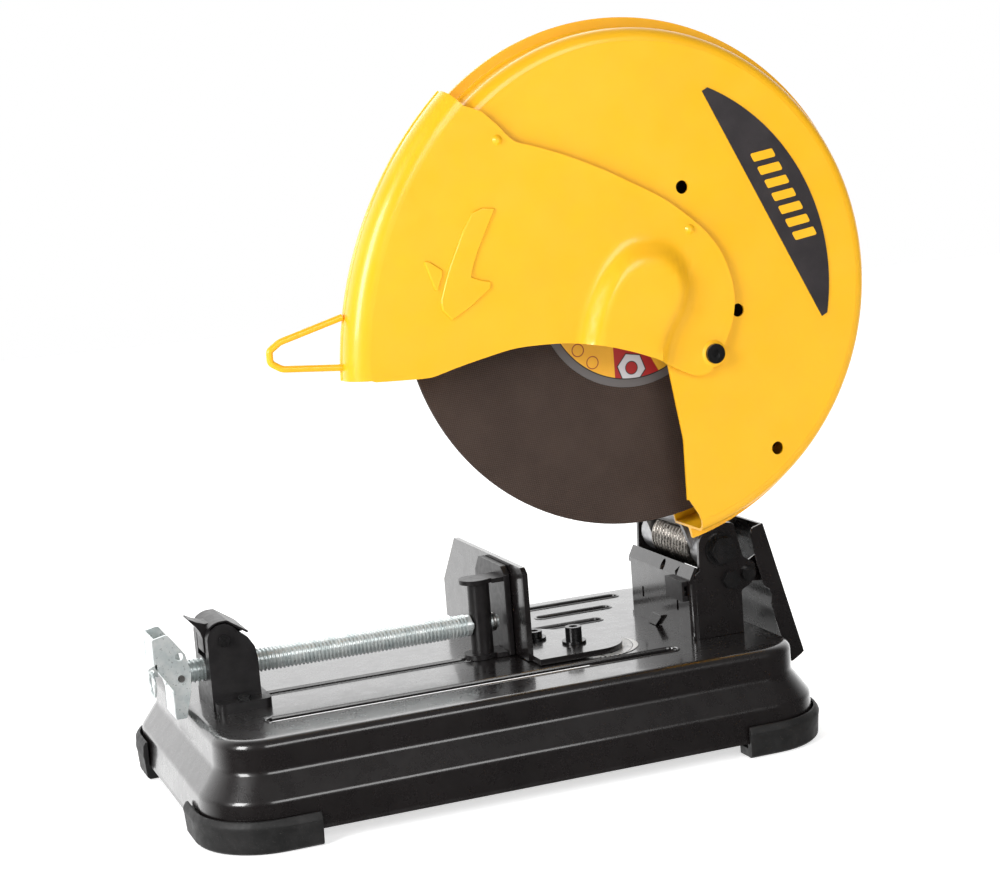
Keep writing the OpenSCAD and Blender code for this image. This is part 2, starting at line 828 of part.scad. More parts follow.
module wheel_flanges() {
    color(zinc) head() {
        difference() {
            union() {
                rod_y(0, 0, 37, wheel_t, 8);
                rod_y(0, 0, 18, 8, 12);
            }
            rod_y(0, 0, 30, wheel_t - 1, wheel_t + 0.8);
            rod_y(0, 0, 10, wheel_t, 13);
        }
        difference() {
            rod_y(0, 0, 37, -6, -0.5);
            rod_y(0, 0, 30, -1.2, 0);
            rod_y(0, 0, 4.05, -7, 0);
        }
    }
}

module cutting_wheel() {
    color([0.2, 0.17, 0.16]) head() difference() {
        rod_y(0, 0, wheel_d / 2, 0, wheel_t, $fn = 180);
        rod_y(0, 0, 12.7, -1, wheel_t + 1);
    }
}

module wheel_label() {
    color([0.85, 0.5, 0.12]) head() difference() {
        rod_y(0, 0, label_r, -0.4, 0);
        rod_y(0, 0, 30.2, -1, 1);
    }
}

module arbor_bolt() {
    color(steel) head() {
        rod_y(0, 0, 4, -6, 20);
        rod_y(0, 0, 13, -8, -6);
        hex_y(0, 0, 9.8, -15, -8);
    }
}

module armature() {
    color([0.45, 0.42, 0.4]) motor_axis() {
        difference() {
            rod_y(0, 0, 27.8, 98, 148);
            rod_y(0, 0, 5, 90, 160);
            for (a = [0 : 30 : 330]) {
                rotate([0, a, 0]) translate([23, 97, -1.2]) cube([6, 52, 2.4]);
            }
        }
        rod_y(0, 0, 5, 39, 228);
        slab(gear_y0 - 1, gear_y1 + 1) gear(pinion_teeth, motor_a + 180 + 15, 5);
    }
}

module commutator() {
    color([0.75, 0.45, 0.25]) motor_axis() difference() {
        rod_y(0, 0, 16, 165, 189);
        rod_y(0, 0, 5, 164, 190);
    }
}

module cooling_fan() {
    color(black) motor_axis() difference() {
        union() {
            rod_y(0, 0, 43, 72, 74.5);
            rod_y(0, 0, 12, 72, 88);
            for (a = [0 : 30 : 330]) {
                rotate([0, a, 0]) translate([16, 74, -1]) cube([25, 13, 2]);
            }
        }
        rod_y(0, 0, 5, 70, 90);
    }
}

module ring_y(r0, r1, y0, y1) {
    difference() {
        rod_y(0, 0, r1, y0, y1);
        rod_y(0, 0, r0, y0 - 1, y1 + 1);
    }
}

module motor_bearings() {
    color(steel) motor_axis() {
        ring_y(5.05, 13, case_y1 - 0.5, case_y1 + 5);
        ring_y(5.05, 13, 219, 226);
    }
}

module spindle_bearings() {
    color(steel) head() {
        ring_y(10.05, 19, 28.5, 36);
        ring_y(7.05, 14, case_y1 + 1, case_y1 + 9);
    }
}

// ---- moving guard, drawn about its own pivot for the rim ----
swing_y0 = -30;
swing_y1 = -8;
swing_round = 16.5;
rim_a0 = 133.3;
rim_a1 = 178;
rim_face_r = 225;
rim_step = 0.15;

function swing_cup(t) = concat(
    [[rim_face_r, swing_y0 + t], [swing_r - swing_round, swing_y0 + t]],
    arc(swing_r - swing_round, swing_y0 + swing_round, swing_round - t, -90, 0, 10),
    [[swing_r - t, swing_y1]]
);

swing_outline = [
    [-134, 146], [-110, 130.5], [-97, 117.8], [-81, 112.4], [-58.6, 103], [-12.8, 80.8], [10.7, 71], [32, 58], [50, 46.4],
    [63, 30], [72.5, 8.7], [75.2, -14.1], [72.2, -32.7], [66, -44], [42, -67], [17.8, -58.5], [2, -49.2], [-29.7, -39.1],
    [-52, -34], [-76.9, -31.1], [-97, -31], [-116.1, -32.7], [-170.5, -45.4], [-207.8, -44], [-218, -42.4]
];

module moving_guard() {
    color(paint) head() difference() {
        union() {
            translate([swing_x, 0, swing_z]) turn(rim_a0, rim_a1) polygon(concat(swing_cup(0), reversed(swing_cup(guard_t))));
            slab(swing_y0 + rim_step, swing_y0 + rim_step + guard_t) {
                intersection() {
                    polygon(swing_outline);
                    translate([swing_x, swing_z]) circle(r = swing_r - 22, $fn = 180);
                }
                translate([swing_x, swing_z]) circle(r = 16);
            }
            slab(swing_y0 - 7, swing_y0 + 1) pocket(0);
        }
        slab(swing_y0 - 5, swing_y0 + 3) pocket(-2);
        rod_y(swing_x, swing_z, 4.06, swing_y0 - 3, swing_y0 + 4);
        slab(swing_y0 - 1, swing_y0 + guard_t + 1) polygon([[-97, 117.8], [-134, 146], [-141.5, 157], [-200, 240],
            [-60, 240], [-60, 104], [-81, 112.4]]);
    }
}

module pocket(grow) {
    link([-2, -2], 33 + grow, [-16, -24], 31 + grow);
}

module guard_pivot_screw() {
    color(black) head() difference() {
        union() {
            rod_y(swing_x, swing_z, 4, swing_y0 - 0.2, guard_y0 + guard_t + 2);
            rod_y(swing_x, swing_z, 7.5, swing_y0 - 4, swing_y0 - 0.2);
            hex_y(swing_x, swing_z, 6, guard_y0 + guard_t, guard_y0 + guard_t + 4);
        }
        hex_y(swing_x, swing_z, 3.2, swing_y0 - 5, swing_y0 - 2);
    }
}

loop_y = -11;
loop_r = 2.5;
loop_side = [
    [-225.4, 5.66], [-274.04, -7.76], [-282.42, -13.44], [-283.5, -15.2], [-283.5, -24.4], [-282.33, -26.12],
    [-273.8, -31.43], [-230.7, -35], [-230.35, -30], [-272.3, -26.5], [-278.5, -22.61], [-278.5, -16.82],
    [-271.96, -12.3], [-226.5, 0.17]
];

module finger_loop() {
    color(paint) head() slab(loop_y - loop_r, loop_y + loop_r) polygon(loop_side);
}

base_pan();
corner_feet();
vise_block();
vise_bolts();
half_nut();
quick_release_lever();
lever_pin();
vise_screw();
crank_arm();
crank_pin();
crank_ring();
jaw_carrier();
jaw_plate();
jaw_pin();
fence();
fence_pivot_bolt();
fence_bolt();
angle_scale();
pivot_bracket();
bracket_brace();
bracket_bolts();
pivot_shaft();
pivot_nut();
torsion_spring();
wrench_clip();
lockdown_chain();
spark_deflector();
deflector_bolt();
head_arm();
gear_case();
gear_cover();
cover_screws();
motor_housing();
motor_end_cap();
stator();
carbon_brushes();
brush_caps();
handle_near();
handle_far();
handle_screws();
trigger();
spindle_lock();
fixed_guard();
guard_bolts();
badge_panel();
armature();
commutator();
cooling_fan();
motor_bearings();
spindle_bearings();
spindle();
spindle_gear();
wheel_flanges();
cutting_wheel();
wheel_label();
arbor_bolt();
moving_guard();
guard_pivot_screw();
finger_loop();
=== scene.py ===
"""Looks of the abrasive chop saw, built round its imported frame."""

import json
import math

import bpy
from mathutils import Matrix, Vector


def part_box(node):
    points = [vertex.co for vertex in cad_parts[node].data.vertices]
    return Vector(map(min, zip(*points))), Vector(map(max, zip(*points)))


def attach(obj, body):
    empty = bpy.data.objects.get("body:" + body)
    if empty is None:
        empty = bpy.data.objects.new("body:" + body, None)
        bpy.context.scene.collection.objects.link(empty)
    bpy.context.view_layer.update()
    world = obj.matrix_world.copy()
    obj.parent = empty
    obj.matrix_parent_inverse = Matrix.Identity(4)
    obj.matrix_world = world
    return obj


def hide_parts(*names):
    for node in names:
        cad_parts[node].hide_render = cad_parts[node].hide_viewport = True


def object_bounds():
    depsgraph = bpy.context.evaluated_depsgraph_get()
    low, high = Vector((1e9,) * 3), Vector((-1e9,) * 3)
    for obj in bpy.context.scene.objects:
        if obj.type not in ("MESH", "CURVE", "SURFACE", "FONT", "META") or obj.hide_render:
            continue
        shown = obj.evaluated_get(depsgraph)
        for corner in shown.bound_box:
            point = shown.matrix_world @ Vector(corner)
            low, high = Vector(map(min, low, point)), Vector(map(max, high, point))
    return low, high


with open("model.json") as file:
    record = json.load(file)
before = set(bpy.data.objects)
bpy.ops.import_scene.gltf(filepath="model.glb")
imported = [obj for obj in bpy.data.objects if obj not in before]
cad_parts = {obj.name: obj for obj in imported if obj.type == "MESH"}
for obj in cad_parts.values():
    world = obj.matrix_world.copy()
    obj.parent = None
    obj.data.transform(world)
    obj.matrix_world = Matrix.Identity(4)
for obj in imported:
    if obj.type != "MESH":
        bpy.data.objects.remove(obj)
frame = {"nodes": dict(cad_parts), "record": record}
cad_low, cad_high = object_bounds()
nodes = frame["nodes"]
MM = 0.001

wheel_low, wheel_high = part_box("cutting_wheel")
HUB = Vector(((wheel_low.x + wheel_high.x) / 2, wheel_low.y, (wheel_low.z + wheel_high.z) / 2))
SCREW_Y, SCREW_Z = 73.5, -254
DECK = -281
PIVOT = (71, -211.4)
SWING = (54, -52)
SWING_R = 285
SHEET = 2.0


def at(x, y, z):
    """Frame point, in metres, of millimetres taken from the middle of the wheel's near face."""
    return HUB + Vector((x, y, z)) * MM


def polar(cx, cz, r, degrees):
    """A point on a circle."""
    a = math.radians(degrees)
    return (cx + r * math.cos(a), cz + r * math.sin(a))


def sweep(cx, cz, r, a0, a1, steps):
    """Points of an arc."""
    return [polar(cx, cz, r, a0 + (a1 - a0) * i / steps) for i in range(steps + 1)]


def eased(points, radii, closed=True, steps=5):
    """An outline whose corners are rounded: one radius for all, or one for each corner."""
    n = len(points)
    radii = [radii] * n if isinstance(radii, (int, float)) else radii
    out = []
    for i, p in enumerate(points):
        r = radii[i]
        if r <= 0 or (not closed and i in (0, n - 1)):
            out.append(tuple(p))
            continue
        a, b, c = Vector(points[i - 1]), Vector(p), Vector(points[(i + 1) % n])
        u, v = (a - b).normalized(), (c - b).normalized()
        corner = u.angle(v)
        if corner > math.radians(176):
            out.append(tuple(p))
            continue
        reach = min(r / math.tan(corner / 2), 0.49 * (a - b).length, 0.49 * (c - b).length)
        r = reach * math.tan(corner / 2)
        centre = b + (u + v).normalized() * (r / math.sin(corner / 2))
        first, last = b + u * reach - centre, b + v * reach - centre
        turn = math.pi - corner
        sign = 1 if first.x * last.y - first.y * last.x > 0 else -1
        for k in range(steps + 1):
            t = sign * turn * k / steps
            out.append((
                centre.x + first.x * math.cos(t) - first.y * math.sin(t),
                centre.y + first.x * math.sin(t) + first.y * math.cos(t),
            ))
    return out


def flowing(points, steps=6):
    """A smooth curve through points, open at both ends."""
    pts = [Vector(p) for p in points]
    pts = [pts[0] * 2 - pts[1]] + pts + [pts[-1] * 2 - pts[-2]]
    out = []
    for i in range(1, len(pts) - 2):
        a, b, c, d = pts[i - 1:i + 3]
        for k in range(steps):
            t = k / steps
            out.append(tuple(0.5 * ((b * 2) + (c - a) * t + (a * 2 - b * 5 + c * 4 - d) * t * t
                                    + (b * 3 - a - c * 3 + d) * t ** 3)))
    return out + [tuple(pts[-2])]


# ---- bench work ----
def clear():
    bpy.ops.object.select_all(action="DESELECT")


def work_on(piece):
    clear()
    piece.select_set(True)
    bpy.context.view_layer.objects.active = piece


def edit(piece, kind="VERT"):
    work_on(piece)
    bpy.ops.object.mode_set(mode="EDIT")
    bpy.ops.mesh.select_mode(type=kind)


def done():
    bpy.ops.object.mode_set(mode="OBJECT")


def edit_all(piece):
    edit(piece)
    bpy.ops.mesh.select_all(action="SELECT")


def edit_none(piece, kind="VERT"):
    edit(piece, kind)
    bpy.ops.mesh.select_all(action="DESELECT")


def pick_edges(piece, test):
    """Selects the edges whose middle and direction pass a test, and opens the piece for editing."""
    edit_none(piece)
    done()
    mesh = piece.data
    for e in mesh.edges:
        a, b = (mesh.vertices[v].co for v in e.vertices)
        e.select = bool(test((a + b) / 2, b - a))
    for v in mesh.vertices:
        v.select = False
    for e in mesh.edges:
        if e.select:
            for v in e.vertices:
                mesh.vertices[v].select = True
    edit(piece, "EDGE")


def pick_faces(piece, test):
    """Selects the faces whose middle and outward direction pass a test, and opens the piece for editing."""
    edit_none(piece)
    done()
    for f in piece.data.polygons:
        f.select = bool(test(f.center, f.normal))
    edit(piece, "FACE")


def settle(piece):
    """Puts the piece's place, turn and size into its mesh."""
    work_on(piece)
    bpy.ops.object.transform_apply(location=True, rotation=True, scale=True)
    return piece


def outward(piece):
    """Welds doubled corners and turns every face outwards."""
    edit_all(piece)
    bpy.ops.mesh.remove_doubles(threshold=1e-6)
    bpy.ops.mesh.normals_make_consistent(inside=False)
    done()


def close_ends(piece):
    """Fills the open ends with faces."""
    edit_none(piece)
    bpy.ops.mesh.select_non_manifold()
    bpy.ops.mesh.fill()
    done()
    outward(piece)


def break_edges(piece, width, segments=2, sharp=28):
    """Rounds every edge that is sharper than an angle."""
    if width <= 0:
        return piece
    edit_none(piece, "EDGE")
    bpy.ops.mesh.edges_select_sharp(sharpness=math.radians(sharp))
    bpy.ops.mesh.bevel(offset=width * MM, segments=segments, affect="EDGES", clamp_overlap=True)
    done()
    return piece


def smooth(piece, degrees=32):
    """Rounds the shading of soft edges and keeps the large faces flat."""
    work_on(piece)
    bpy.ops.object.shade_smooth_by_angle(angle=math.radians(degrees))
    modify(piece, "WEIGHTED_NORMAL", keep_sharp=True, weight=80)
    return piece


def modify(piece, kind, **settings):
    work_on(piece)
    bpy.ops.object.modifier_add(type=kind)
    modifier = piece.modifiers[-1]
    for key, value in settings.items():
        setattr(modifier, key, value)
    bpy.ops.object.modifier_apply(modifier=modifier.name)
    return piece


def cut(piece, *tools, how="DIFFERENCE"):
    """Cuts, joins or trims the piece with other solids, which are then thrown away."""
    for tool in tools:
        modify(piece, "BOOLEAN", object=tool, operation=how, solver="EXACT")
        bpy.data.objects.remove(tool)
    return piece


def join(name, pieces):
    clear()
    for p in pieces:
        p.select_set(True)
    bpy.context.view_layer.objects.active = pieces[0]
    bpy.ops.object.join()
    whole = bpy.context.object
    whole.name = name
    return whole


def trace(name, points, closed=False):
    """Draws a line of edges point after point with the extrude tool."""
    clear()
    points = [Vector(p) for p in points]
    bpy.ops.mesh.primitive_plane_add(size=MM, location=points[0])
    piece = settle(bpy.context.object)
    piece.name = name
    edit_all(piece)
    bpy.ops.mesh.merge(type="CENTER")
    for a, b in zip(points, points[1:] + (points[:1] if closed else [])):
        bpy.ops.mesh.extrude_vertices_move(TRANSFORM_OT_translate={"value": b - a})
    bpy.ops.mesh.select_all(action="SELECT")
    if closed:
        bpy.ops.mesh.remove_doubles(threshold=1e-7)
    done()
    return piece


def plate(name, outline, low, high, axis="y", width=0.4, segments=2):
    """A flat outline made solid between two levels on an axis, with broken edges."""
    lift = {"x": lambda p: at(low, *p), "y": lambda p: at(p[0], low, p[1]), "z": lambda p: at(*p, low)}[axis]
    piece = trace(name, [lift(p) for p in outline], closed=True)
    edit_all(piece)
    bpy.ops.mesh.edge_face_add()
    step = {"x": (high - low, 0, 0), "y": (0, high - low, 0), "z": (0, 0, high - low)}[axis]
    bpy.ops.mesh.extrude_region_move(TRANSFORM_OT_translate={"value": Vector(step) * MM})
    bpy.ops.mesh.select_all(action="SELECT")
    bpy.ops.mesh.normals_make_consistent(inside=False)
    done()
    return break_edges(piece, width, segments)


TURNS = {"x": (0, math.pi / 2, 0), "y": (math.pi / 2, 0, 0), "z": (0, 0, 0)}


def rod(name, place, r, span, axis="y", sides=48, width=0.4):
    """A round or many-sided bar along an axis. place is its middle on the two other axes."""
    mid = (span[0] + span[1]) / 2
    spots = {"x": (mid, place[0], place[1]), "y": (place[0], mid, place[1]), "z": (place[0], place[1], mid)}
    clear()
    bpy.ops.mesh.primitive_cylinder_add(vertices=sides, radius=r * MM, depth=(span[1] - span[0]) * MM,
                                        location=at(*spots[axis]), rotation=TURNS[axis])
    piece = settle(bpy.context.object)
    piece.name = name
    return break_edges(piece, width)


def lathe(name, profile, centre, axis="y", steps=64, angle=360, start=0, closed=False):
    """Turns a profile of (radius, level along the axis) about that axis."""
    a = math.radians(start)
    c, s = math.cos(a), math.sin(a)
    spots = {
        "y": lambda r, h: at(centre[0] + r * c, h, centre[1] + r * s),
        "x": lambda r, h: at(h, centre[0] + r * c, centre[1] + r * s),
        "z": lambda r, h: at(centre[0] + r * c, centre[1] + r * s, h),
    }[axis]
    middle = {"y": at(centre[0], 0, centre[1]), "x": at(0, *centre), "z": at(centre[0], centre[1], 0)}[axis]
    way = {"x": (1, 0, 0), "y": (0, -1, 0), "z": (0, 0, 1)}[axis]
    piece = trace(name, [spots(r, h) for r, h in profile], closed)
    edit_all(piece)
    bpy.ops.mesh.spin(steps=steps, angle=-math.radians(angle), center=middle, axis=way)
    done()
    outward(piece)
    return piece


def strand(name, points, r, closed=False, sides=10):
    """A round wire along points, closed at its ends."""
    piece = trace(name, points, closed)
    work_on(piece)
    bpy.ops.object.convert(target="CURVE")
    piece = bpy.context.object
    piece.data.bevel_depth = r * MM
    piece.data.bevel_resolution = max(1, sides // 2 - 2)
    piece.data.use_fill_caps = not closed
    bpy.ops.object.convert(target="MESH")
    piece = bpy.context.object
    piece.name = name
    outward(piece)
    return piece


def broken(node, width, segments=2):
    """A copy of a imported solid, merged and given broken edges."""
    piece = bpy.data.objects.new(node + "_finished", nodes[node].data.copy())
    bpy.context.scene.collection.objects.link(piece)
    piece.data.materials.clear()
    edit_all(piece)
    bpy.ops.mesh.remove_doubles(threshold=2e-6)
    done()
    return break_edges(piece, width, segments)


# ---- finishes ----
class Recipe:
    """The shader of one finish, built step by step. Lengths are in metres on Object coordinates."""

    def __init__(self, name, metallic=0.0, **sockets):
        self.material = bpy.data.materials.new(name)
        self.material.use_nodes = True
        self.tree = self.material.node_tree
        self.shader = self.tree.nodes["Principled BSDF"]
        self.shader.inputs["Metallic"].default_value = metallic
        for key, value in sockets.items():
            self.shader.inputs[key.replace("_", " ")].default_value = value
        self.place = self.add("ShaderNodeTexCoord").outputs["Object"]
        self.normal = None

    def add(self, kind, **settings):
        node = self.tree.nodes.new(kind)
        for key, value in settings.items():
            setattr(node, key, value)
        return node

    def feed(self, socket, value):
        if isinstance(value, bpy.types.NodeSocket):
            self.tree.links.new(value, socket)
        else:
            socket.default_value = value

    def placed(self, scale=(1, 1, 1), turn=(0, 0, 0)):
        """Object coordinates, stretched and turned."""
        node = self.add("ShaderNodeMapping")
        self.feed(node.inputs["Vector"], self.place)
        node.inputs["Scale"].default_value = scale
        node.inputs["Rotation"].default_value = turn
        return node.outputs[0]

    def split(self, vector):
        node = self.add("ShaderNodeSeparateXYZ")
        self.feed(node.inputs[0], vector)
        return node.outputs

    def away_from(self, point):
        """The three offsets from a point of the frame."""
        node = self.add("ShaderNodeVectorMath", operation="SUBTRACT")
        self.feed(node.inputs[0], self.place)
        node.inputs[1].default_value = point
        return self.split(node.outputs[0])

    def length(self, a, b):
        return self.math("SQRT", self.math("ADD", self.math("MULTIPLY", a, a), self.math("MULTIPLY", b, b)))

    def noise(self, size, detail=2.0, rough=0.5, where=None):
        """Cloudy noise whose blotches are about size millimetres."""
        node = self.add("ShaderNodeTexNoise")
        self.feed(node.inputs["Vector"], where or self.place)
        node.inputs["Scale"].default_value = 1 / (size * MM)
        node.inputs["Detail"].default_value = detail
        node.inputs["Roughness"].default_value = rough
        return node.outputs["Fac"]

    def cells(self, size):
        """Distance from the middles of grains that are about size millimetres apart."""
        node = self.add("ShaderNodeTexVoronoi")
        self.feed(node.inputs["Vector"], self.place)
        node.inputs["Scale"].default_value = 1 / (size * MM)
        return node.outputs["Distance"]

    def math(self, how, a, b=0.0, c=0.0, clamp=False):
        node = self.add("ShaderNodeMath", operation=how, use_clamp=clamp)
        for socket, value in zip(node.inputs, (a, b, c)):
            self.feed(socket, value)
        return node.outputs[0]

    def span(self, value, low, high, to_low=0.0, to_high=1.0):
        node = self.add("ShaderNodeMapRange", clamp=True, interpolation_type="SMOOTHSTEP")
        for key, v in zip(("Value", "From Min", "From Max", "To Min", "To Max"), (value, low, high, to_low, to_high)):
            self.feed(node.inputs[key], v)
        return node.outputs[0]

    def blend(self, share, a, b):
        node = self.add("ShaderNodeMix", data_type="RGBA")
        self.feed(node.inputs[0], share)
        for socket, value in ((node.inputs[6], a), (node.inputs[7], b)):
            self.feed(socket, value if isinstance(value, bpy.types.NodeSocket) else (*value, 1))
        return node.outputs[2]

    def bump(self, height, depth):
        """Adds relief: depth is in millimetres."""
        node = self.add("ShaderNodeBump")
        node.inputs["Distance"].default_value = depth * MM
        self.feed(node.inputs["Height"], height)
        if self.normal is not None:
            self.feed(node.inputs["Normal"], self.normal)
        self.normal = node.outputs[0]

    def colour(self, value):
        self.feed(self.shader.inputs["Base Color"], value)

    def roughness(self, value):
        self.feed(self.shader.inputs["Roughness"], value)

    def finish(self):
        if self.normal is not None:
            self.feed(self.shader.inputs["Normal"], self.normal)
        return self.material


def surface(name, dark, light, rough, metallic=0.0, blotch=30, grain=(0.6, 0.02), peel=None, brushed=None,
            scuffs=0.0, dust=0.0, **sockets):
    """A finish with colour drift, a roughness range and fine grain, and if wanted peel, brushing, scuffs and dust."""
    mix = Recipe(name, metallic, **sockets)
    drift = mix.noise(blotch, 4, 0.6)
    tint = mix.blend(mix.span(drift, 0.32, 0.7), dark, light)
    fine = mix.noise(grain[0], 3, 0.6)
    sheen = mix.span(mix.noise(blotch * 0.35, 5, 0.65), 0.3, 0.72, rough[0], rough[1])
    if brushed:
        lines = mix.noise(0.35, 3, 0.6, mix.placed(scale=brushed))
        sheen = mix.math("ADD", sheen, mix.span(lines, 0.3, 0.7, -0.07, 0.09), clamp=True)
        mix.bump(lines, 0.006)
    if scuffs:
        hair = mix.noise(2.4, 2, 0.4, mix.placed(scale=(1, 1, 9), turn=(0.5, 0.9, 0.3)))
        hair = mix.math("MULTIPLY", mix.span(hair, 0.66, 0.72), mix.span(mix.noise(45, 2), 0.5, 0.62))
        sheen = mix.math("ADD", sheen, mix.math("MULTIPLY", hair, scuffs), clamp=True)
    if dust:
        specks = mix.span(mix.noise(0.9, 2, 0.7), 0.66, 0.74)
        tint = mix.blend(mix.math("MULTIPLY", specks, dust), tint, (0.22, 0.21, 0.2))
    mix.colour(tint)
    mix.roughness(sheen)
    mix.bump(fine, grain[1])
    if peel:
        mix.bump(mix.noise(peel[0], 2, 0.5), peel[1])
    return mix.finish()


def woven_abrasive():
    """Resin-bonded grit over a crossed glass mesh that prints through the face."""
    mix = Recipe("abrasive_finish", Specular_IOR_Level=0.35)
    yarn = 2 * math.pi / (2.1 * MM)
    weave = []
    for degrees in (28, 118):
        across = mix.split(mix.placed(turn=(0, math.radians(degrees), 0)))[0]
        wobble = mix.math("MULTIPLY", mix.noise(6, 2), 2.2)
        weave.append(mix.math("SINE", mix.math("ADD", mix.math("MULTIPLY", across, yarn), wobble)))
    net = mix.span(mix.math("MULTIPLY", *weave), -0.6, 0.6)
    grit = mix.noise(0.7, 4, 0.75)
    patch = mix.span(mix.noise(38, 4, 0.6), 0.3, 0.7)
    tint = mix.blend(patch, (0.03, 0.0175, 0.0125), (0.045, 0.028, 0.021))
    tint = mix.blend(mix.math("MULTIPLY", net, 0.6), tint, (0.088, 0.058, 0.045))
    # painted highlight: lighter specks at the grain middles are glints of the grit painted into the colour
    painted_glint = mix.span(mix.cells(0.55), 0.0, 0.16, 1.0, 0.0)
    tint = mix.blend(mix.math("MULTIPLY", painted_glint, 0.3), tint, (0.16, 0.13, 0.11))
    mix.colour(tint)
    mix.roughness(mix.span(grit, 0.3, 0.7, 0.62, 0.85))
    mix.bump(net, 0.16)
    mix.bump(grit, 0.12)
    return mix.finish()


def printed_label():
    """A printed paper disc: warm ground, two thin rings, a red field with a grey nut, dark edge lines."""
    mix = Recipe("label_paper_finish", Coat_Weight=0.15, Coat_Roughness=0.25)
    fibre = mix.noise(0.5, 4, 0.7)
    red, ink, nut_centre = (0.42, 0.02, 0.02), (0.02, 0.02, 0.02), (-1, -59)

    def offsets(x, z):
        u, _, w = mix.away_from(at(x, 0, z))
        return u, w

    def radius(x, z):
        return mix.length(*offsets(x, z))

    def inside(value, edge, soft=0.25):
        return mix.span(value, (edge - soft) * MM, (edge + soft) * MM, 1.0, 0.0)

    ground = mix.blend(mix.span(mix.noise(40, 2), 0.3, 0.7), (0.86, 0.42, 0.02), (0.93, 0.5, 0.04))
    u, w = offsets(0, 0)
    slant = mix.span(mix.math("ADD", mix.math("MULTIPLY", w, 0.55), u), -14 * MM, -13 * MM, 1.0, 0.0)
    field = mix.math("MULTIPLY", mix.span(u, -15.2 * MM, -14.8 * MM), slant)
    ground = mix.blend(field, ground, red)
    for x, z in ((-43.8, -41.3), (-32.6, -51.7), (-54, -28), (48, -32), (54, -8), (-20, 56), (6, 58)):
        r = radius(x, z)
        ring = mix.math("SUBTRACT", inside(r, 5.0), inside(r, 4.2))
        ground = mix.blend(ring, ground, (0.35, 0.05, 0.02))
    u, w = offsets(*nut_centre)
    flats = []
    for a in (math.radians(degrees) for degrees in (20, 80, 140)):
        across = mix.math("ADD", mix.math("MULTIPLY", u, math.cos(a)), mix.math("MULTIPLY", w, math.sin(a)))
        flats.append(mix.math("ABSOLUTE", across))
    nut = mix.math("MAXIMUM", mix.math("MAXIMUM", flats[0], flats[1]), flats[2])
    hole = radius(*nut_centre)
    for reach, edge, tint in ((nut, 10.6, ink), (nut, 9.8, (0.58, 0.58, 0.6)), (hole, 5.2, ink), (hole, 4.5, red)):
        ground = mix.blend(inside(reach, edge), ground, tint)
    rim = radius(0, 0)
    ground = mix.blend(mix.span(rim, 66.6 * MM, 67.0 * MM), ground, (0.02, 0.018, 0.018))
    ground = mix.blend(mix.span(rim, 67.4 * MM, 67.8 * MM), ground, (0.13, 0.12, 0.118))
    ground = mix.blend(mix.span(fibre, 0.4, 0.9, 0.0, 0.12), ground, (0.05, 0.04, 0.03))
    mix.colour(ground)
    mix.roughness(mix.span(fibre, 0.3, 0.7, 0.38, 0.55))
    mix.bump(fibre, 0.02)
    return mix.finish()


def scale_print():
    """A white plate with black degree lines round the fence bolt."""
    mix = Recipe("scale_plate_finish", Coat_Weight=0.2, Coat_Roughness=0.2)
    x, y, _ = mix.away_from(at(-43, 50, DECK))
    r = mix.length(x, y)
    turn = mix.math("MULTIPLY", mix.math("ARCTAN2", y, x), 180 / math.pi)
    lines = mix.math("MULTIPLY", mix.span(r, 45 * MM, 45.3 * MM), mix.span(r, 45.8 * MM, 46.1 * MM, 1.0, 0.0))
    for step, low, high, half in ((5, 36, 45, 0.55), (15, 33, 45, 0.8)):
        line = mix.span(mix.math("PINGPONG", turn, step / 2), half, half + 0.15, 1.0, 0.0)
        line = mix.math("MULTIPLY", line, mix.span(r, low * MM, (low + 0.3) * MM))
        line = mix.math("MULTIPLY", line, mix.span(r, high * MM, (high + 0.3) * MM, 1.0, 0.0))
        lines = mix.math("MAXIMUM", lines, line)
    wear = mix.noise(3, 4, 0.7)
    plain = mix.blend(mix.span(wear, 0.3, 0.7), (0.62, 0.62, 0.6), (0.72, 0.72, 0.71))
    mix.colour(mix.blend(lines, plain, (0.02, 0.02, 0.02)))
    mix.roughness(mix.span(wear, 0.3, 0.7, 0.25, 0.4))
    mix.bump(wear, 0.01)
    return mix.finish()


ALONG_Z = (1, 1, 0.04)
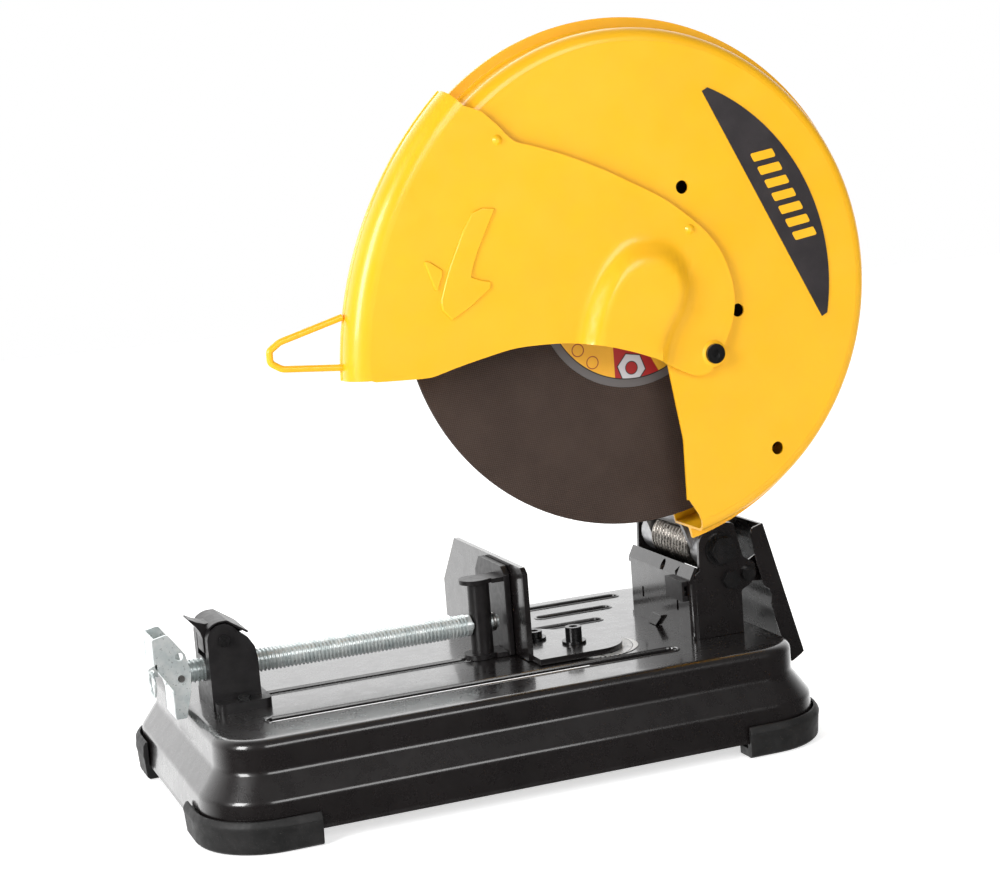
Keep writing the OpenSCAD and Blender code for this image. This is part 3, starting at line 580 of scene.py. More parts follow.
# plain finishes: dark tint, light tint, roughness range, and what else is in the mix
PAINTS = {
    "black_paint": ((0.0075, 0.0058, 0.0058), (0.011, 0.0088, 0.0088), (0.24, 0.34),
                    dict(blotch=40, grain=(0.5, 0.006), peel=(2.6, 0.008), scuffs=0.1, dust=0.06,
                         Specular_IOR_Level=0.5, Coat_Weight=0.8, Coat_Roughness=0.1)),
    "black_cast": ((0.009, 0.008, 0.0085), (0.016, 0.0145, 0.015), (0.3, 0.44),
                   dict(blotch=12, grain=(0.8, 0.05), peel=(2.4, 0.06), scuffs=0.15, dust=0.15,
                        Specular_IOR_Level=0.5)),
    "dark_steel": ((0.009, 0.0078, 0.008), (0.016, 0.014, 0.0145), (0.3, 0.42),
                   dict(blotch=14, grain=(0.5, 0.012), scuffs=0.2, dust=0.08, Specular_IOR_Level=0.4)),
    "rubber": ((0.012, 0.012, 0.012), (0.022, 0.021, 0.021), (0.48, 0.66),
               dict(blotch=18, grain=(0.6, 0.05), dust=0.35, Specular_IOR_Level=0.4)),
    "bolt_steel": ((0.3, 0.29, 0.28), (0.42, 0.41, 0.4), (0.26, 0.42),
                   dict(metallic=1.0, blotch=6, grain=(0.4, 0.01), scuffs=0.2)),
    "black_bolt": ((0.008, 0.008, 0.008), (0.015, 0.014, 0.0145), (0.16, 0.26),
                   dict(metallic=0.2, blotch=6, grain=(0.4, 0.01), scuffs=0.15, Specular_IOR_Level=0.7)),
    "bronze": ((0.5, 0.33, 0.15), (0.66, 0.46, 0.23), (0.28, 0.42), dict(metallic=1.0, blotch=10)),
    "zinc": ((0.6, 0.66, 0.66), (0.8, 0.83, 0.82), (0.26, 0.4),
             dict(metallic=0.55, blotch=9, grain=(0.5, 0.006), scuffs=0.2)),
    "spring_steel": ((0.3, 0.27, 0.24), (0.46, 0.43, 0.39), (0.22, 0.36),
                     dict(metallic=1.0, blotch=8, grain=(0.4, 0.01))),
    "cast_alloy": ((0.45, 0.45, 0.46), (0.6, 0.6, 0.6), (0.36, 0.52),
                   dict(metallic=1.0, blotch=16, grain=(0.7, 0.05), peel=(2.6, 0.05), dust=0.1)),
    "yellow_plastic": ((0.86, 0.46, 0.02), (0.93, 0.53, 0.035), (0.4, 0.52),
                       dict(blotch=30, grain=(0.9, 0.05), dust=0.1)),
    "black_plastic": ((0.012, 0.012, 0.013), (0.02, 0.0195, 0.02), (0.42, 0.56),
                      dict(blotch=24, grain=(0.8, 0.07), dust=0.15)),
    "core_steel": ((0.14, 0.13, 0.12), (0.24, 0.22, 0.2), (0.4, 0.55), dict(metallic=1.0, blotch=12, brushed=ALONG_Z)),
    "carbon": ((0.02, 0.02, 0.022), (0.045, 0.045, 0.05), (0.5, 0.7), dict(blotch=5)),
    "trigger_plastic": ((0.02, 0.019, 0.019), (0.035, 0.033, 0.033), (0.3, 0.42), dict(blotch=10, grain=(0.6, 0.03))),
    "yellow_paint": ((0.94, 0.475, 0.008), (0.97, 0.5, 0.011), (0.3, 0.42),
                     dict(blotch=70, grain=(0.7, 0.012), peel=(2.2, 0.022), scuffs=0.1, Coat_Weight=0.35,
                          Coat_Roughness=0.12)),
    "badge_film": ((0.03, 0.026, 0.028), (0.042, 0.036, 0.038), (0.3, 0.4),
                   dict(blotch=20, grain=(0.6, 0.015), dust=0.15)),
    "copper": ((0.62, 0.3, 0.16), (0.74, 0.4, 0.23), (0.2, 0.35), dict(metallic=1.0, blotch=8)),
    "bearing_steel": ((0.5, 0.5, 0.51), (0.62, 0.62, 0.63), (0.14, 0.24), dict(metallic=1.0, blotch=6)),
}
FINISHES = {slot: surface(slot + "_finish", *tints, **more) for slot, (*tints, more) in PAINTS.items()}
FINISHES.update(abrasive=woven_abrasive(), label_paper=printed_label(), scale_plate=scale_print())

SLOTS = {part["node"]: part["material_slot"] for part in frame["record"]["subparts"]}
BODIES = {node: body for body, members in frame["record"]["behaviour"]["bodies"].items() for node in members}
finished = set()


def fit(piece, *stands_for, slot=None, body=None, degrees=32):
    """Gives a piece its finish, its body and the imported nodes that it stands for."""
    first = stands_for[0] if stands_for else None
    slot = slot or SLOTS[first]
    body = body or BODIES[first]
    smooth(piece, degrees)
    piece.data.materials.clear()
    piece.data.materials.append(FINISHES[slot])
    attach(piece, body)
    if stands_for:
        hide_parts(*stands_for)
        finished.update(stands_for)
    return piece


def grown(points, r, steps=6):
    """Outline of a convex polygon grown outwards by a radius."""
    area = sum(a[0] * b[1] - b[0] * a[1] for a, b in zip(points, points[1:] + points[:1]))
    points = points if area > 0 else points[::-1]
    out = []
    for i, p in enumerate(points):
        a, b = points[i - 1], points[(i + 1) % len(points)]
        a0 = math.degrees(math.atan2(p[1] - a[1], p[0] - a[0])) - 90
        a1 = math.degrees(math.atan2(b[1] - p[1], b[0] - p[0])) - 90
        out += sweep(p[0], p[1], r, a0, a0 + (a1 - a0) % 360, steps)
    return out


def stadium(x0, x1, y, w, steps=8):
    """Outline of a slot with round ends."""
    return sweep(x1 - w / 2, y, w / 2, -90, 90, steps) + sweep(x0 + w / 2, y, w / 2, 90, 270, steps)


def rise(value, low, high):
    """From 0 to 1 between two values, with a soft start and end."""
    t = min(max((value - low) / (high - low), 0.0), 1.0)
    return t * t * (3 - 2 * t)


def depth_in(points, x, z):
    """How far inside an outline a place is, below zero outside it."""
    best, inside = 1e9, False
    for (ax, az), (bx, bz) in zip(points, points[1:] + points[:1]):
        dx, dz = bx - ax, bz - az
        t = min(max(((x - ax) * dx + (z - az) * dz) / (dx * dx + dz * dz), 0.0), 1.0)
        best = min(best, math.hypot(x - ax - t * dx, z - az - t * dz))
        if (az > z) != (bz > z) and x < ax + (z - az) * dx / dz:
            inside = not inside
    return best if inside else -best


# ---- base ----
pan_low, pan_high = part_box("base_pan")
SKIRT_R = 51.0
PAN_X = ((pan_low.x + pan_high.x) / 2 - HUB.x) / MM
PAN_Y = ((pan_low.y + pan_high.y) / 2 - HUB.y) / MM
PAN_HX = (pan_high.x - pan_low.x) / 2 / MM - SKIRT_R
PAN_HY = (pan_high.y - pan_low.y) / 2 / MM - SKIRT_R
DECK_SLOTS = ((-305, 22, 1.4, 12), (-290, -98, SCREW_Y, 9), (-72, 60, 197, 9), (-29, 38, 163, 9), (-72, 14, 127, 9))


def base_pan():
    """The base: one skirt profile carried round the four corners, hollowed, slotted, with rolled slot lips."""
    skirt = eased([(20, DECK), (36, DECK), (36, -304), (49, -322), (50.4, -343.4), (51, -346)],
                  [0, 7, 7, 7, 1, 0], closed=False, steps=7)
    piece = trace("base_pan_pressing", [at(PAN_X + PAN_HX + r, PAN_Y - PAN_HY, z) for r, z in skirt])
    edit_all(piece)
    corners = ((1, 1), (-1, 1), (-1, -1), (1, -1))
    runs = ((0, 2 * PAN_HY), (-2 * PAN_HX, 0), (0, -2 * PAN_HY), (2 * PAN_HX, 0))
    for (sx, sy), (dx, dy) in zip(corners, runs):
        bpy.ops.mesh.extrude_region_move(TRANSFORM_OT_translate={"value": Vector((dx, dy, 0)) * MM})
        bpy.ops.mesh.spin(steps=14, angle=-math.pi / 2, axis=(0, 0, 1),
                          center=at(PAN_X + sx * PAN_HX, PAN_Y + sy * PAN_HY, 0))
    done()
    outward(piece)

    def on_inner_ring(mid, way):
        x, y = (mid.x - at(PAN_X, 0, 0).x) / MM, (mid.y - at(0, PAN_Y, 0).y) / MM
        gap = math.hypot(max(abs(x) - PAN_HX, 0), max(abs(y) - PAN_HY, 0))
        return abs(mid.z - at(0, 0, DECK).z) < 1e-5 and gap < 20.2

    pick_edges(piece, on_inner_ring)
    bpy.ops.mesh.edge_face_add()
    done()
    outward(piece)
    modify(piece, "SOLIDIFY", thickness=2.5 * MM, offset=-1)
    tools = [plate("tool", stadium(*s), DECK - 12, DECK + 8, "z", 0) for s in DECK_SLOTS]
    cut(piece, *tools)
    lips = []
    for x0, x1, y, w in DECK_SLOTS:
        path = [at(x, yy, DECK - 0.7) for x, yy in stadium(x0 - 1, x1 + 1, y, w + 2, 10)]
        lips.append(strand("lip", path, 1.5, closed=True, sides=8))
    piece = join("base_pan_pressing", [piece] + lips)
    fit(piece, "base_pan", degrees=40)
    return piece


def vise_screw():
    """A rolled thread: one tooth carried round the bar by the screw tool, with plain ends."""
    pitch, crest, root, turns = 3.0, 8.95, 7.7, 76
    tooth = [(0, root), (0.35, root), (1.15, crest), (1.75, crest), (2.6, root), (pitch, root)]
    piece = trace("vise_screw_thread", [Vector((x, r, 0)) * MM for x, r in tooth])
    modify(piece, "SCREW", axis="X", angle=2 * math.pi, screw_offset=pitch * MM, iterations=turns - 1, steps=26,
           render_steps=26, use_merge_vertices=True, merge_threshold=1e-5)
    piece.location = at(-349.5, SCREW_Y, SCREW_Z)
    settle(piece)
    outward(piece)
    close_ends(piece)
    ends = [rod("end", (SCREW_Y, SCREW_Z), r, run, "x", sides, width) for r, run, sides, width in (
        (8.3, (-350, -347.6), 32, 0.5), (8.3, (-124.5, -120.2), 32, 0.6), (5, (-121, -97), 28, 0.4))]
    fit(join("vise_screw_thread", [piece] + ends), "vise_screw", degrees=40)


def crank_ring():
    """A bent wire ring that hangs from the crank's ear."""
    clear()
    bpy.ops.mesh.primitive_torus_add(major_segments=48, minor_segments=14, major_radius=9 * MM, minor_radius=1.1 * MM,
                                     location=at(-373.5, 57, -255), rotation=(0, math.pi / 2, 0))
    piece = settle(bpy.context.object)
    piece.name = "crank_ring_wire"
    pick_faces(piece, lambda mid, way: mid.z < at(0, 0, -262).z)
    bpy.ops.transform.translate(value=(0, 0, 0.1 * MM), use_proportional_edit=True, proportional_size=4 * MM)
    done()
    fit(piece, "crank_ring")


def spring():
    """The lift spring as one coiled wire."""
    coils, steps, r, first, pitch = 12, 22, 17.6, 35.4, 5.4
    path = []
    for i in range(coils * steps + 1):
        x, z = polar(*PIVOT, r, 90 + 360 * i / steps)
        path.append(at(x, first + i / steps * pitch, z))
    fit(strand("lift_spring_coil", path, 2.45), "torsion_spring", degrees=60)


# ---- guards ----
def fixed_guard():
    """The wheel guard: a deep drawn ring, its cut-out near face, and the plate round the spindle."""
    near, back = -25, 26.7
    section = sweep(182, near + 10, 10, -90, 0, 7)
    section += [(192, -1.5), (193.5, 0), (200.5, 0), (200.5, 1.2), (199.9, 1.7), (200.5, 2.2), (200.5, 3.4),
                (193.5, 3.4), (192, 4.9), (192, back - 1), (191, back), (66, back), (66, back - SHEET),
                (190, back - SHEET)]
    section += sweep(182, near + 10, 8, 0, -90, 7)
    ring = lathe("fixed_guard_shell", section, (0, 0), steps=150, angle=246, start=-78, closed=True)
    close_ends(ring)
    outline = sweep(0, 0, 182, -78, 168, 120)
    outline += eased([(-178, 37.8), (-140, 12), (-60, 20), (-44, 14.5)], [0, 6, 6, 0], False)[1:-1]
    outline += sweep(0, 0, 46.3, 154.5, -66, 64)
    outline += eased([(18.8, -42.3), (18, -58), (27, -115), (27, -161), (28.5, -161), (36.4, -173.7), (37.8, -178)],
                     [0, 5, 8, 0, 0, 3, 0], False)[1:-1]
    face = plate("near_face", outline, near, near + SHEET, "y", 0)
    holes = ((38.5, 73.2), (78.8, -22.2), (106, -131), SWING)
    cut(face, *[rod("tool", p, 5, (near - 4, near + 6), "y", 40, 0) for p in holes])
    break_edges(face, 0.3)
    hub = eased([(20.5, 24.7), (70, 24.7), (70, 27), (20.5, 27)], [0, 0.3, 0.3, 0])
    hub = lathe("hub_plate", hub, (0, 0), steps=96, closed=True)
    fit(join("fixed_guard_shell", [ring, face, hub]), "fixed_guard", degrees=30)


ARROW = [(-130.3, 68.4), (-122.3, 71.3), (-112.3, 70.2), (-119.7, 55.9), (-127.1, 42.1), (-131.9, 30.9), (-134.1, 23.1),
         (-126.6, 20.2), (-119.7, 18.8), (-120.1, 13.8), (-135.8, 2.2), (-151.3, -6.4), (-158.3, 1.5), (-158.5, 8.8),
         (-153.3, 24.2), (-145.7, 40.9), (-138.3, 56.1)]
ARROW_BARB = [(-169, 37.2), (-165.2, 37.2), (-155.4, 30.2), (-155.8, 25.9), (-160.2, 15.5), (-162.4, 16.4)]
POCKET_FOOT = flowing([(-64, -66), (-53.8, -32.2), (-48.7, -15.3), (-40.7, 2.4), (-29.3, 19.7), (-12.4, 34.6),
                       (8.2, 36.4), (23.8, 30.3), (34.4, 16.9), (37.7, -1.1), (31.8, -19.4), (21, -35), (14.6, -53.2),
                       (9, -78)], 4)
POCKET_TOP = flowing([(-52, -68), (-43, -33.9), (-39.9, -21.9), (-35, -8.1), (-26, 8.4), (-12.6, 21.5), (5.7, 24.5),
                      (20.1, 18.4), (28.3, 5.3), (26.6, -10.1), (17.1, -23.7), (9.1, -39.5), (6.8, -52), (4, -80)], 4)
PIPS = ((-106.8, 117.7), (40.2, 42.1))
UPPER_EDGE = [(-150, 165), (-133.7, 152.6), (-108.1, 130.4), (-99.8, 121.3), (-92.2, 115.4), (-79.5, 111.6),
              (-54, 102.8), (-28.3, 91.8), (-2.4, 78.7), (19.5, 66.7), (36.9, 54), (52.3, 40.3), (65.1, 23), (72, 4),
              (74, -13.1), (71, -29.7), (64.6, -44)]
LUG_EDGE = [(63.5, -47.2), (61.7, -48.6), (57.3, -56.8), (49.7, -65.5), (41.3, -67.6), (31, -64.2), (17.5, -57.3)]
LOWER_EDGE = [(2, -49.6), (-15.8, -42.8), (-37.9, -36.2), (-60, -32.3), (-80, -30.9), (-104, -31.2), (-125.9, -34.9),
              (-147.8, -39.6), (-160.9, -42.9), (-171, -45), (-188, -44.8), (-211.2, -43.8)]
POCKET_HEIGHT = 9.0
SWING_FACE, SHOULDER, RIM_BACK = -30, 16.5, -8


def relief(x, z):
    """How far the pressed pocket of the moving guard stands proud of its flat, in millimetres."""
    if not (-70 < x < 45 and z < 45):
        return 0.0
    outside, inside = depth_in(POCKET_FOOT, x, z), -depth_in(POCKET_TOP, x, z)
    if outside <= 0:
        return 0.0
    t = 1.0 if inside <= 0 else outside / (outside + inside)
    return POCKET_HEIGHT * (0.75 * t + 0.25 * rise(t, 0, 1))


def embossing(name, outline, proud, slope):
    """A shape pressed out of the moving guard's flat, with sloping sides."""
    return plate(name, outline, SWING_FACE - proud, SWING_FACE + 1, "y", slope, 3)


def moving_guard():
    """The swinging guard: a pressed face with its relief, and a rolled rim turned about the pivot."""
    x0, x1, z0, z1, step = -236, 80, -72, 170, 1.5
    clear()
    bpy.ops.mesh.primitive_grid_add(x_subdivisions=int((x1 - x0) / step), y_subdivisions=int((z1 - z0) / step), size=1,
                                    location=at((x0 + x1) / 2, SWING_FACE, (z0 + z1) / 2), rotation=(math.pi / 2, 0, 0),
                                    scale=((x1 - x0) * MM, (z1 - z0) * MM, 1))
    face = settle(bpy.context.object)
    for v in face.data.vertices:
        v.co.y -= relief((v.co.x - HUB.x) / MM, (v.co.z - HUB.z) / MM) * MM
    modify(face, "SOLIDIFY", thickness=SHEET * MM, offset=-1)
    flat = SWING_R - SHOULDER
    rim = sweep(SWING[0], SWING[1], flat, 178, 133.3, 60)
    outline = rim + flowing(UPPER_EDGE, 5)[8:] + flowing(LUG_EDGE, 4) + flowing(LOWER_EDGE, 5)
    cut(face, plate("tool", outline, -48, -20, "y", 0), how="INTERSECT")
    profile = sweep(flat, SWING_FACE + SHOULDER - 0.8, SHOULDER - 0.8, -90, 0, 12)
    profile += [(SWING_R - 0.8, -11.2), (SWING_R, -10.4), (SWING_R, RIM_BACK)]
    band = lathe("rim", profile, SWING, steps=60, angle=44.7, start=133.3)
    modify(band, "SOLIDIFY", thickness=SHEET * MM, offset=-1)
    marks = [embossing("arrow", ARROW, 1.6, 1.5), embossing("barb", ARROW_BARB, 1.4, 1.2)]
    pip = [(0, -32.5), (1.1, -32.4), (2.2, -31.8), (3.3, -30.6), (3.9, -29.9), (3.9, -29.2), (0, -29.2)]
    marks += [lathe("pip", pip, place, steps=24) for place in PIPS]
    marks.append(lathe("boss", eased([(4.4, -31.5), (8.1, -31.5), (10.2, -29.8), (10.2, -29.2), (4.4, -29.2)],
                                     [0.4, 0.8, 0.6, 0, 0]), SWING, steps=40, closed=True))
    fit(join("moving_guard_pressing", [face, band] + marks), "moving_guard", degrees=35)


def finger_loop():
    """The wire loop that the moving guard is lifted by."""
    path = eased([(-226.4, 2.9), (-273, -10), (-281, -15.5), (-281, -24), (-273, -29), (-229.5, -32.6)],
                 [0, 10, 4, 4, 10, 0], closed=False, steps=6)
    fit(strand("finger_loop_wire", [at(x, -11, z) for x, z in path], 2.5, sides=14), "finger_loop", degrees=60)


def badge_stripes():
    """Plain slanted bars on the dark panel."""
    bars = []
    a = math.radians(27.3)
    for i in range(7):
        v = 34 - i * 11.5
        spots = [(128, v + 5), (146, v - 1), (146, v - 8), (128, v - 2)]
        outline = [(u * math.cos(a) - w * math.sin(a), u * math.sin(a) + w * math.cos(a)) for u, w in spots]
        bars.append(plate("bar", eased(outline, 1.2, steps=3), -26.1, -25.7, "y", 0.1, 1))
    fit(join("badge_stripes", bars), slot="yellow_paint", body="head")


# ---- motor and handle ----
MOTOR = (70 * math.cos(math.radians(60)), 70 * math.sin(math.radians(60)))
HANDLE_Y = 100


def grip(u, v):
    """A place on the handle: u is measured out from the motor's middle, v across."""
    a = math.radians(175)
    return (MOTOR[0] + u * math.cos(a) + v * math.sin(a), MOTOR[1] + u * math.sin(a) - v * math.cos(a))


def handle(node, side):
    """One moulded half of the D handle, rounded on its outer face only."""
    outer, inner = HANDLE_Y + side * 16, HANDLE_Y
    low, high = min(outer, inner), max(outer, inner)
    around = grown([grip(*p) for p in ((54, 28), (54, -28), (146, -38), (146, 38))], 12, 8)
    hole = grown([grip(*p) for p in ((84, 20), (84, -20), (112, -30), (118, 30))], 7, 8)
    piece = plate(node + "_shell", around, low, high, "y", 0)
    through = (low - 2, high + 2)
    cut(piece, plate("tool", hole, *through, "y", 0), rod("tool", MOTOR, 50.1, through, "y", 96, 0))
    level = at(0, outer, 0).y
    pick_edges(piece, lambda mid, way: abs(mid.y - level) < 1e-5 and abs(way.y) < 1e-6)
    bpy.ops.mesh.bevel(offset=6.5 * MM, segments=5, affect="EDGES", clamp_overlap=True)
    done()
    trigger_gap = [grip(*p) for p in ((112, -18.4), (137, -18.4), (137, 18.4), (112, 18.4))]
    cut(piece, plate("tool", trigger_gap, HANDLE_Y - 8.5, HANDLE_Y + 8.5, "y", 0))
    if side < 0:
        screws = ((68, 32), (68, -32), (148, 40), (148, -40))
        cut(piece, *[rod("tool", grip(*p), 3.9, (outer - 2, outer + 2.4), "y", 24, 0) for p in screws])
    fit(piece, node, degrees=36)


# ---- vise crank and lever ----
def crank_arm():
    """Bent zinc plate: two cheeks, a folded front, and a boss round the screw."""
    cheek = eased([(-371, -222), (-360, -219.5), (-348, -236), (-345, -250), (-346, -264), (-351, -284), (-359, -284),
                   (-359, -262), (-371, -243)], [1, 3, 4, 6, 6, 2, 1, 3, 1])
    parts = []
    for low, high in ((56, 58), (89, 91)):
        side = plate("cheek", cheek, low, high, "y", 0)
        holes = [rod("tool", (-352.5, SCREW_Z), 2.6, (low - 2, high + 2), "y", 24, 0)]
        if low == 56:
            holes += [rod("tool", (-352.3, -237.6), 2.9, (low - 2, high + 2), "y", 32, 0)]
        parts.append(break_edges(cut(side, *holes), 0.3, 2))
    front = eased([(-371, -222), (-371, -243), (-359, -262), (-359, -284), (-357, -284), (-357, -261.4), (-369, -242.4),
                   (-369, -222)], [0, 5, 5, 0, 0, 4, 4, 0])
    parts.append(plate("front", front, 56.3, 90.7, "y", 0.4))
    ear = plate("ear", eased([(-369, -240), (-369, -250), (-376, -249), (-376, -243)], [0, 0, 2, 2]), 56, 58, "y", 0)
    parts.append(break_edges(cut(ear, rod("tool", (-373.5, -246), 1.9, (54, 60), "y", 24, 0)), 0.3, 2))
    parts.append(rod("boss", (SCREW_Y, SCREW_Z), 7, (-362, -357), "x", 40, 0.5))
    fit(join("crank_arm_plate", parts), "crank_arm", degrees=34)


LEVER = (-320, -229)


def quick_release_lever():
    """Cast lever: a thin cap over the block, and a body whose left face flares out to the thumb tip."""
    x, z = LEVER
    cap = sweep(x, z, 14.4, 90, 138, 6) + sweep(x, z, 13, 138, 90, 6)
    cap += [(x + 3.4, z + 13), (-301.5, -226.4), (-300.4, -225.2), (x + 4, z + 14.4)]
    body = eased([(-333, -239), (-331, -239), (-328, -235), (-312, -235), (-308, -227), (-302, -226.6),
                  (-316.6, -215.8), (-330.5, -217), (-336, -215.2), (-341.6, -212.2), (-342.4, -213.0),
                  (-337.4, -218.4), (-334.4, -223), (-333, -228)], [0.5, 0.5, 3, 3, 1, 0.5, 1, 4, 6, 0.5, 0.5, 6, 4, 3])
    parts = [plate("cap", cap, 51, 96, "y", 0.4), plate("body", body, 61, 80, "y", 0.5)]
    fit(join("release_lever_casting", parts), "quick_release_lever", degrees=34)


# ---- pivot bracket and spark deflector ----
def pivot_bracket():
    """Folded sheet: front and two cheeks with rounded folds, a leaning lip, and feet on the deck."""
    wrap = eased([(60, 14.2), (43.5, 14.2), (43.5, 128.8), (60, 128.8), (60, 125), (47, 125), (47, 18), (60, 18)],
                 [0, 4.5, 4.5, 0, 0, 1.5, 1.5, 0], steps=6)
    shell = plate("wrap", wrap, DECK, -232.5, "z", 0)
    slots = [rod("tool", place, 1.6, (38, 52), "x", 20, 0)
             for place in ((103.5, -254.6), (103.7, -260.8), (39.2, -253.7), (39.6, -259.8))]
    slots += [plate("tool", [(y - 1.5, z0), (y + 1.5, z0), (y + 1.5, z1), (y - 1.5, z1)], 38, 52, "x", 0)
              for y, z0, z1 in ((103.6, -260.8, -254.6), (39.4, -259.8, -253.7))]
    cut(shell, *slots)
    parts = [break_edges(shell, 0.4, 2)]
    cheek = eased([(48.2, -281), (48.2, -229), (52, -226), (53, -203), (58, -195.5), (78, -191), (84, -192), (91, -221),
                   (101, -226), (102, -236), (96, -243), (88, -247), (88, -281)],
                  [0, 2, 3, 8, 7, 6, 4, 6, 4, 4, 4, 3, 0])
    for low, high in ((14, 18), (125, 129)):
        side = plate("cheek", cheek, low, high, "y", 0)
        cut(side, *[rod("tool", p, r, (low - 3, high + 3), "y", 32, 0)
                    for p, r in ((PIVOT, 8.1), ((78, -236.5), 4.1), ((94, -234), 3.1))])
        parts.append(break_edges(side, 0.6, 3))
    lip = eased([(43.5, -236), (47, -236), (46.7, -232.5), (51, -224), (48.4, -222.8), (43.7, -232)],
                [0, 0, 2, 0.4, 0.4, 2])
    lip = plate("lip", lip, 14.6, 128.4, "y", 0)
    holes = []
    for y, z, sides in ((66, -228.2, 32), (40, -228.4, 3)):
        clear()
        bpy.ops.mesh.primitive_cylinder_add(vertices=sides, radius=3.4 * MM, depth=24 * MM, location=at(47.6, y, z),
                                            rotation=(0, math.radians(62), 0))
        holes.append(settle(bpy.context.object))
    parts.append(break_edges(cut(lip, *holes), 0.4, 2))
    tab = eased([(82.4, -270.4), (64.5, -270.4), (77.5, -280.6), (94, -280.6)], 1)
    tab = plate("tab", tab, 40.6, 44.4, "x", 0.8, 3)
    ribs = [plate("rib", eased([(46.5, z), (23, z), (23, z + 5), (46.5, z + 5)], 1.5), 42.2, 44.4, "x", 0.7, 3)
            for z in (-239.4, -247)]
    foot = eased([(44, 14.5), (88, 14.5), (88, 128.5), (44, 128.5)], [0, 3, 3, 0])
    foot = plate("foot", foot, DECK, DECK + 3, "z", 0.4)
    fit(join("pivot_bracket_pressing", parts + [foot, tab] + ribs), "pivot_bracket", degrees=34)


DEFLECTOR_SIDE = [(97.5, -202), (99, -198), (108.6, -195.4), (139.4, -304.6), (128.3, -311), (126, -310), (117, -279.6),
                  (112.7, -261.4), (113.7, -255), (111.7, -249.3), (107.1, -246.4), (102, -229)]


def spark_deflector():
    """Folded sheet: a long face across the back with a cheek at each end and two hinge lugs."""
    outline = eased(DEFLECTOR_SIDE, [3, 3, 1, 4, 4, 2, 3, 4, 3, 3, 4, 5])
    parts = [plate("cheek", outline, low, high, "y", 0.5, 3) for low, high in ((11.6, 13.6), (140, 142))]
    face = [(106.7, -196), (108.6, -195.4), (139.4, -304.6), (137.5, -305.2)]
    parts.append(plate("face", face, 11.9, 141.7, "y", 0.5, 3))
    bolt = (94, -234)
    lug = sweep(*bolt, 7.5, 90, 270, 14) + [(94, -241.5), (121.2, -244), (113.3, -216)]
    for low, high in ((18.5, 20.5), (122.5, 124.5)):
        side = plate("lug", lug, low, high, "y", 0)
        parts.append(break_edges(cut(side, rod("tool", bolt, 3.1, (low - 2, high + 2), "y", 24, 0)), 0.3))
    fit(join("spark_deflector_pressing", parts), "spark_deflector", degrees=34)


# ---- stage, light and camera ----
CAMERA_PLACE, CAMERA_LENS = (-621.49, -1362.59, 114.48), 71.82
CAMERA_TURN, CAMERA_LIFT, CAMERA_ROLL = (math.radians(v) for v in (-20.559, 8.263, -4.401))
FLOOR_GLOW = 0.6


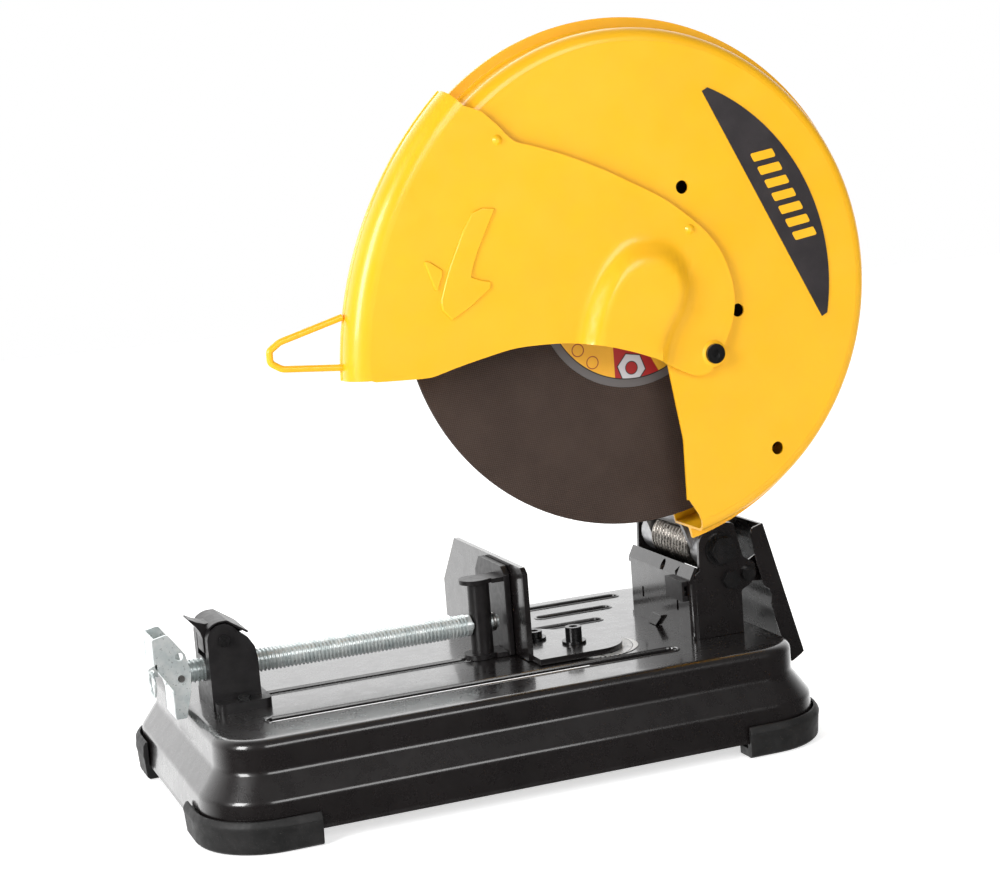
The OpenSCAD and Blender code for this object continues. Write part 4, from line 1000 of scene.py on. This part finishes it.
def studio():
    """White paper floor, a bright room in front, three softboxes and the camera."""
    clear()
    bpy.ops.mesh.primitive_plane_add(size=8, location=(0, 0, cad_low.z - 0.0005))
    floor = bpy.context.object
    floor.name = "studio_floor"
    mix = Recipe("studio_floor_paper", Specular_IOR_Level=0.1)
    mix.colour(mix.blend(mix.noise(400), (0.9, 0.9, 0.9), (0.93, 0.93, 0.93)))
    mix.shader.inputs["Emission Color"].default_value = (1, 1, 1, 1)
    mix.shader.inputs["Emission Strength"].default_value = FLOOR_GLOW
    mix.roughness(0.9)
    floor.data.materials.append(mix.finish())
    floor.visible_glossy = False
    world = bpy.data.worlds.new("studio_world")
    bpy.context.scene.world = world
    world.use_nodes = True
    tree = world.node_tree
    room, seen = tree.nodes["Background"], tree.nodes.new("ShaderNodeBackground")
    sky = tree.nodes.new("ShaderNodeTexCoord").outputs["Generated"]
    split = tree.nodes.new("ShaderNodeSeparateXYZ")
    tree.links.new(sky, split.inputs[0])

    def ramp(socket, low, high, dark, light):
        node = tree.nodes.new("ShaderNodeMapRange")
        node.interpolation_type = "SMOOTHSTEP"
        tree.links.new(socket, node.inputs["Value"])
        for key, value in (("From Min", low), ("From Max", high), ("To Min", dark), ("To Max", light)):
            node.inputs[key].default_value = value
        return node.outputs[0]

    front = ramp(split.outputs[1], -0.1, 0.85, 0.07, 1.5)
    above = ramp(split.outputs[2], 0.25, 0.95, 0.0, 0.2)
    glow = tree.nodes.new("ShaderNodeMath")
    glow.operation = "MAXIMUM"
    tree.links.new(front, glow.inputs[0])
    tree.links.new(above, glow.inputs[1])
    tree.links.new(glow.outputs[0], room.inputs["Strength"])
    room.inputs["Color"].default_value = (1, 1, 1, 1)
    seen.inputs["Color"].default_value = (1, 1, 1, 1)
    seen.inputs["Strength"].default_value = 1.0
    which = tree.nodes.new("ShaderNodeMixShader")
    tree.links.new(tree.nodes.new("ShaderNodeLightPath").outputs["Is Camera Ray"], which.inputs[0])
    tree.links.new(room.outputs[0], which.inputs[1])
    tree.links.new(seen.outputs[0], which.inputs[2])
    tree.links.new(which.outputs[0], tree.nodes["World Output"].inputs["Surface"])

    def softbox(name, place, aim, size, power):
        light = bpy.data.lights.new(name, "AREA")
        light.shape, light.size, light.size_y, light.energy = "RECTANGLE", size[0], size[1], power
        lamp = bpy.data.objects.new(name, light)
        lamp.location = place
        lamp.rotation_euler = (Vector(aim) - Vector(place)).to_track_quat("-Z", "Y").to_euler()
        bpy.context.scene.collection.objects.link(lamp)

    softbox("key_left", (-2.0, -1.1, 1.1), (0, 0, 0.3), (0.8, 1.2), 44)
    softbox("front_fill", (0.3, -2.4, 1.3), (0, 0, 0.35), (1.4, 0.9), 19)
    softbox("top_sheet", (0.1, 1.5, 1.6), (0, 0, 0.2), (1.6, 1.2), 10)

    camera = bpy.data.objects.new("studio_camera", bpy.data.cameras.new("studio_camera"))
    camera.data.sensor_width, camera.data.lens = 36, CAMERA_LENS
    turn, lift, roll = CAMERA_TURN, CAMERA_LIFT, CAMERA_ROLL
    right = Vector((math.cos(turn), math.sin(turn), 0))
    back = Vector((math.sin(turn) * math.cos(lift), -math.cos(turn) * math.cos(lift), math.sin(lift)))
    up = back.cross(right)
    level_right = right * math.cos(roll) + up * math.sin(roll)
    level_up = up * math.cos(roll) - right * math.sin(roll)
    pose = Matrix((level_right, level_up, back)).transposed().to_4x4()
    pose.translation = at(*CAMERA_PLACE)
    camera.matrix_world = pose
    bpy.context.scene.collection.objects.link(camera)
    bpy.context.scene.camera = camera
    view = bpy.context.scene.view_settings
    view.view_transform, view.look, view.exposure, view.gamma = "Standard", "None", 0, 1


base_pan()
vise_screw()
crank_ring()
spring()
fixed_guard()
moving_guard()
finger_loop()
badge_stripes()
handle("handle_near", -1)
handle("handle_far", 1)
crank_arm()
quick_release_lever()
pivot_bracket()
spark_deflector()

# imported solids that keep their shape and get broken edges: width in millimetres and segments
EDGED = {
    "corner_feet": (1.4, 3), "vise_block": (1.2, 3), "vise_bolts": (0.4, 2), "half_nut": (0.3, 2),
    "lever_pin": (0.4, 2), "crank_pin": (0.3, 2), "jaw_carrier": (0.6, 2), "jaw_plate": (0.8, 2), "jaw_pin": (0.4, 2),
    "fence": (0.8, 2), "fence_pivot_bolt": (0.5, 2), "fence_bolt": (0.5, 2), "angle_scale": (0.15, 1),
    "bracket_brace": (0.4, 2), "bracket_bolts": (0.5, 2), "pivot_shaft": (0.5, 2), "pivot_nut": (0.5, 2),
    "wrench_clip": (0.4, 2), "deflector_bolt": (0.4, 2), "head_arm": (1.6, 3), "gear_case": (1.6, 3),
    "gear_cover": (1.2, 3), "cover_screws": (0.3, 2), "motor_housing": (0.8, 2), "motor_end_cap": (0.7, 2),
    "stator": (0.3, 1), "carbon_brushes": (0.3, 1), "brush_caps": (0.6, 2), "handle_screws": (0.3, 2),
    "trigger": (1.6, 4), "spindle_lock": (0.6, 2), "guard_bolts": (0.4, 2), "armature": (0.2, 1),
    "commutator": (0.2, 1), "cooling_fan": (0.3, 1), "motor_bearings": (0.3, 1), "spindle_bearings": (0.3, 1),
    "spindle": (0.4, 2), "spindle_gear": (0.2, 1), "wheel_flanges": (0.6, 2), "arbor_bolt": (0.5, 2),
    "guard_pivot_screw": (0.4, 2),
}
for node, (width, segments) in EDGED.items():
    fit(broken(node, width, segments), node)
for node, piece in nodes.items():
    if node not in finished:
        piece.data.materials.clear()
        piece.data.materials.append(FINISHES[SLOTS[node]])

studio()
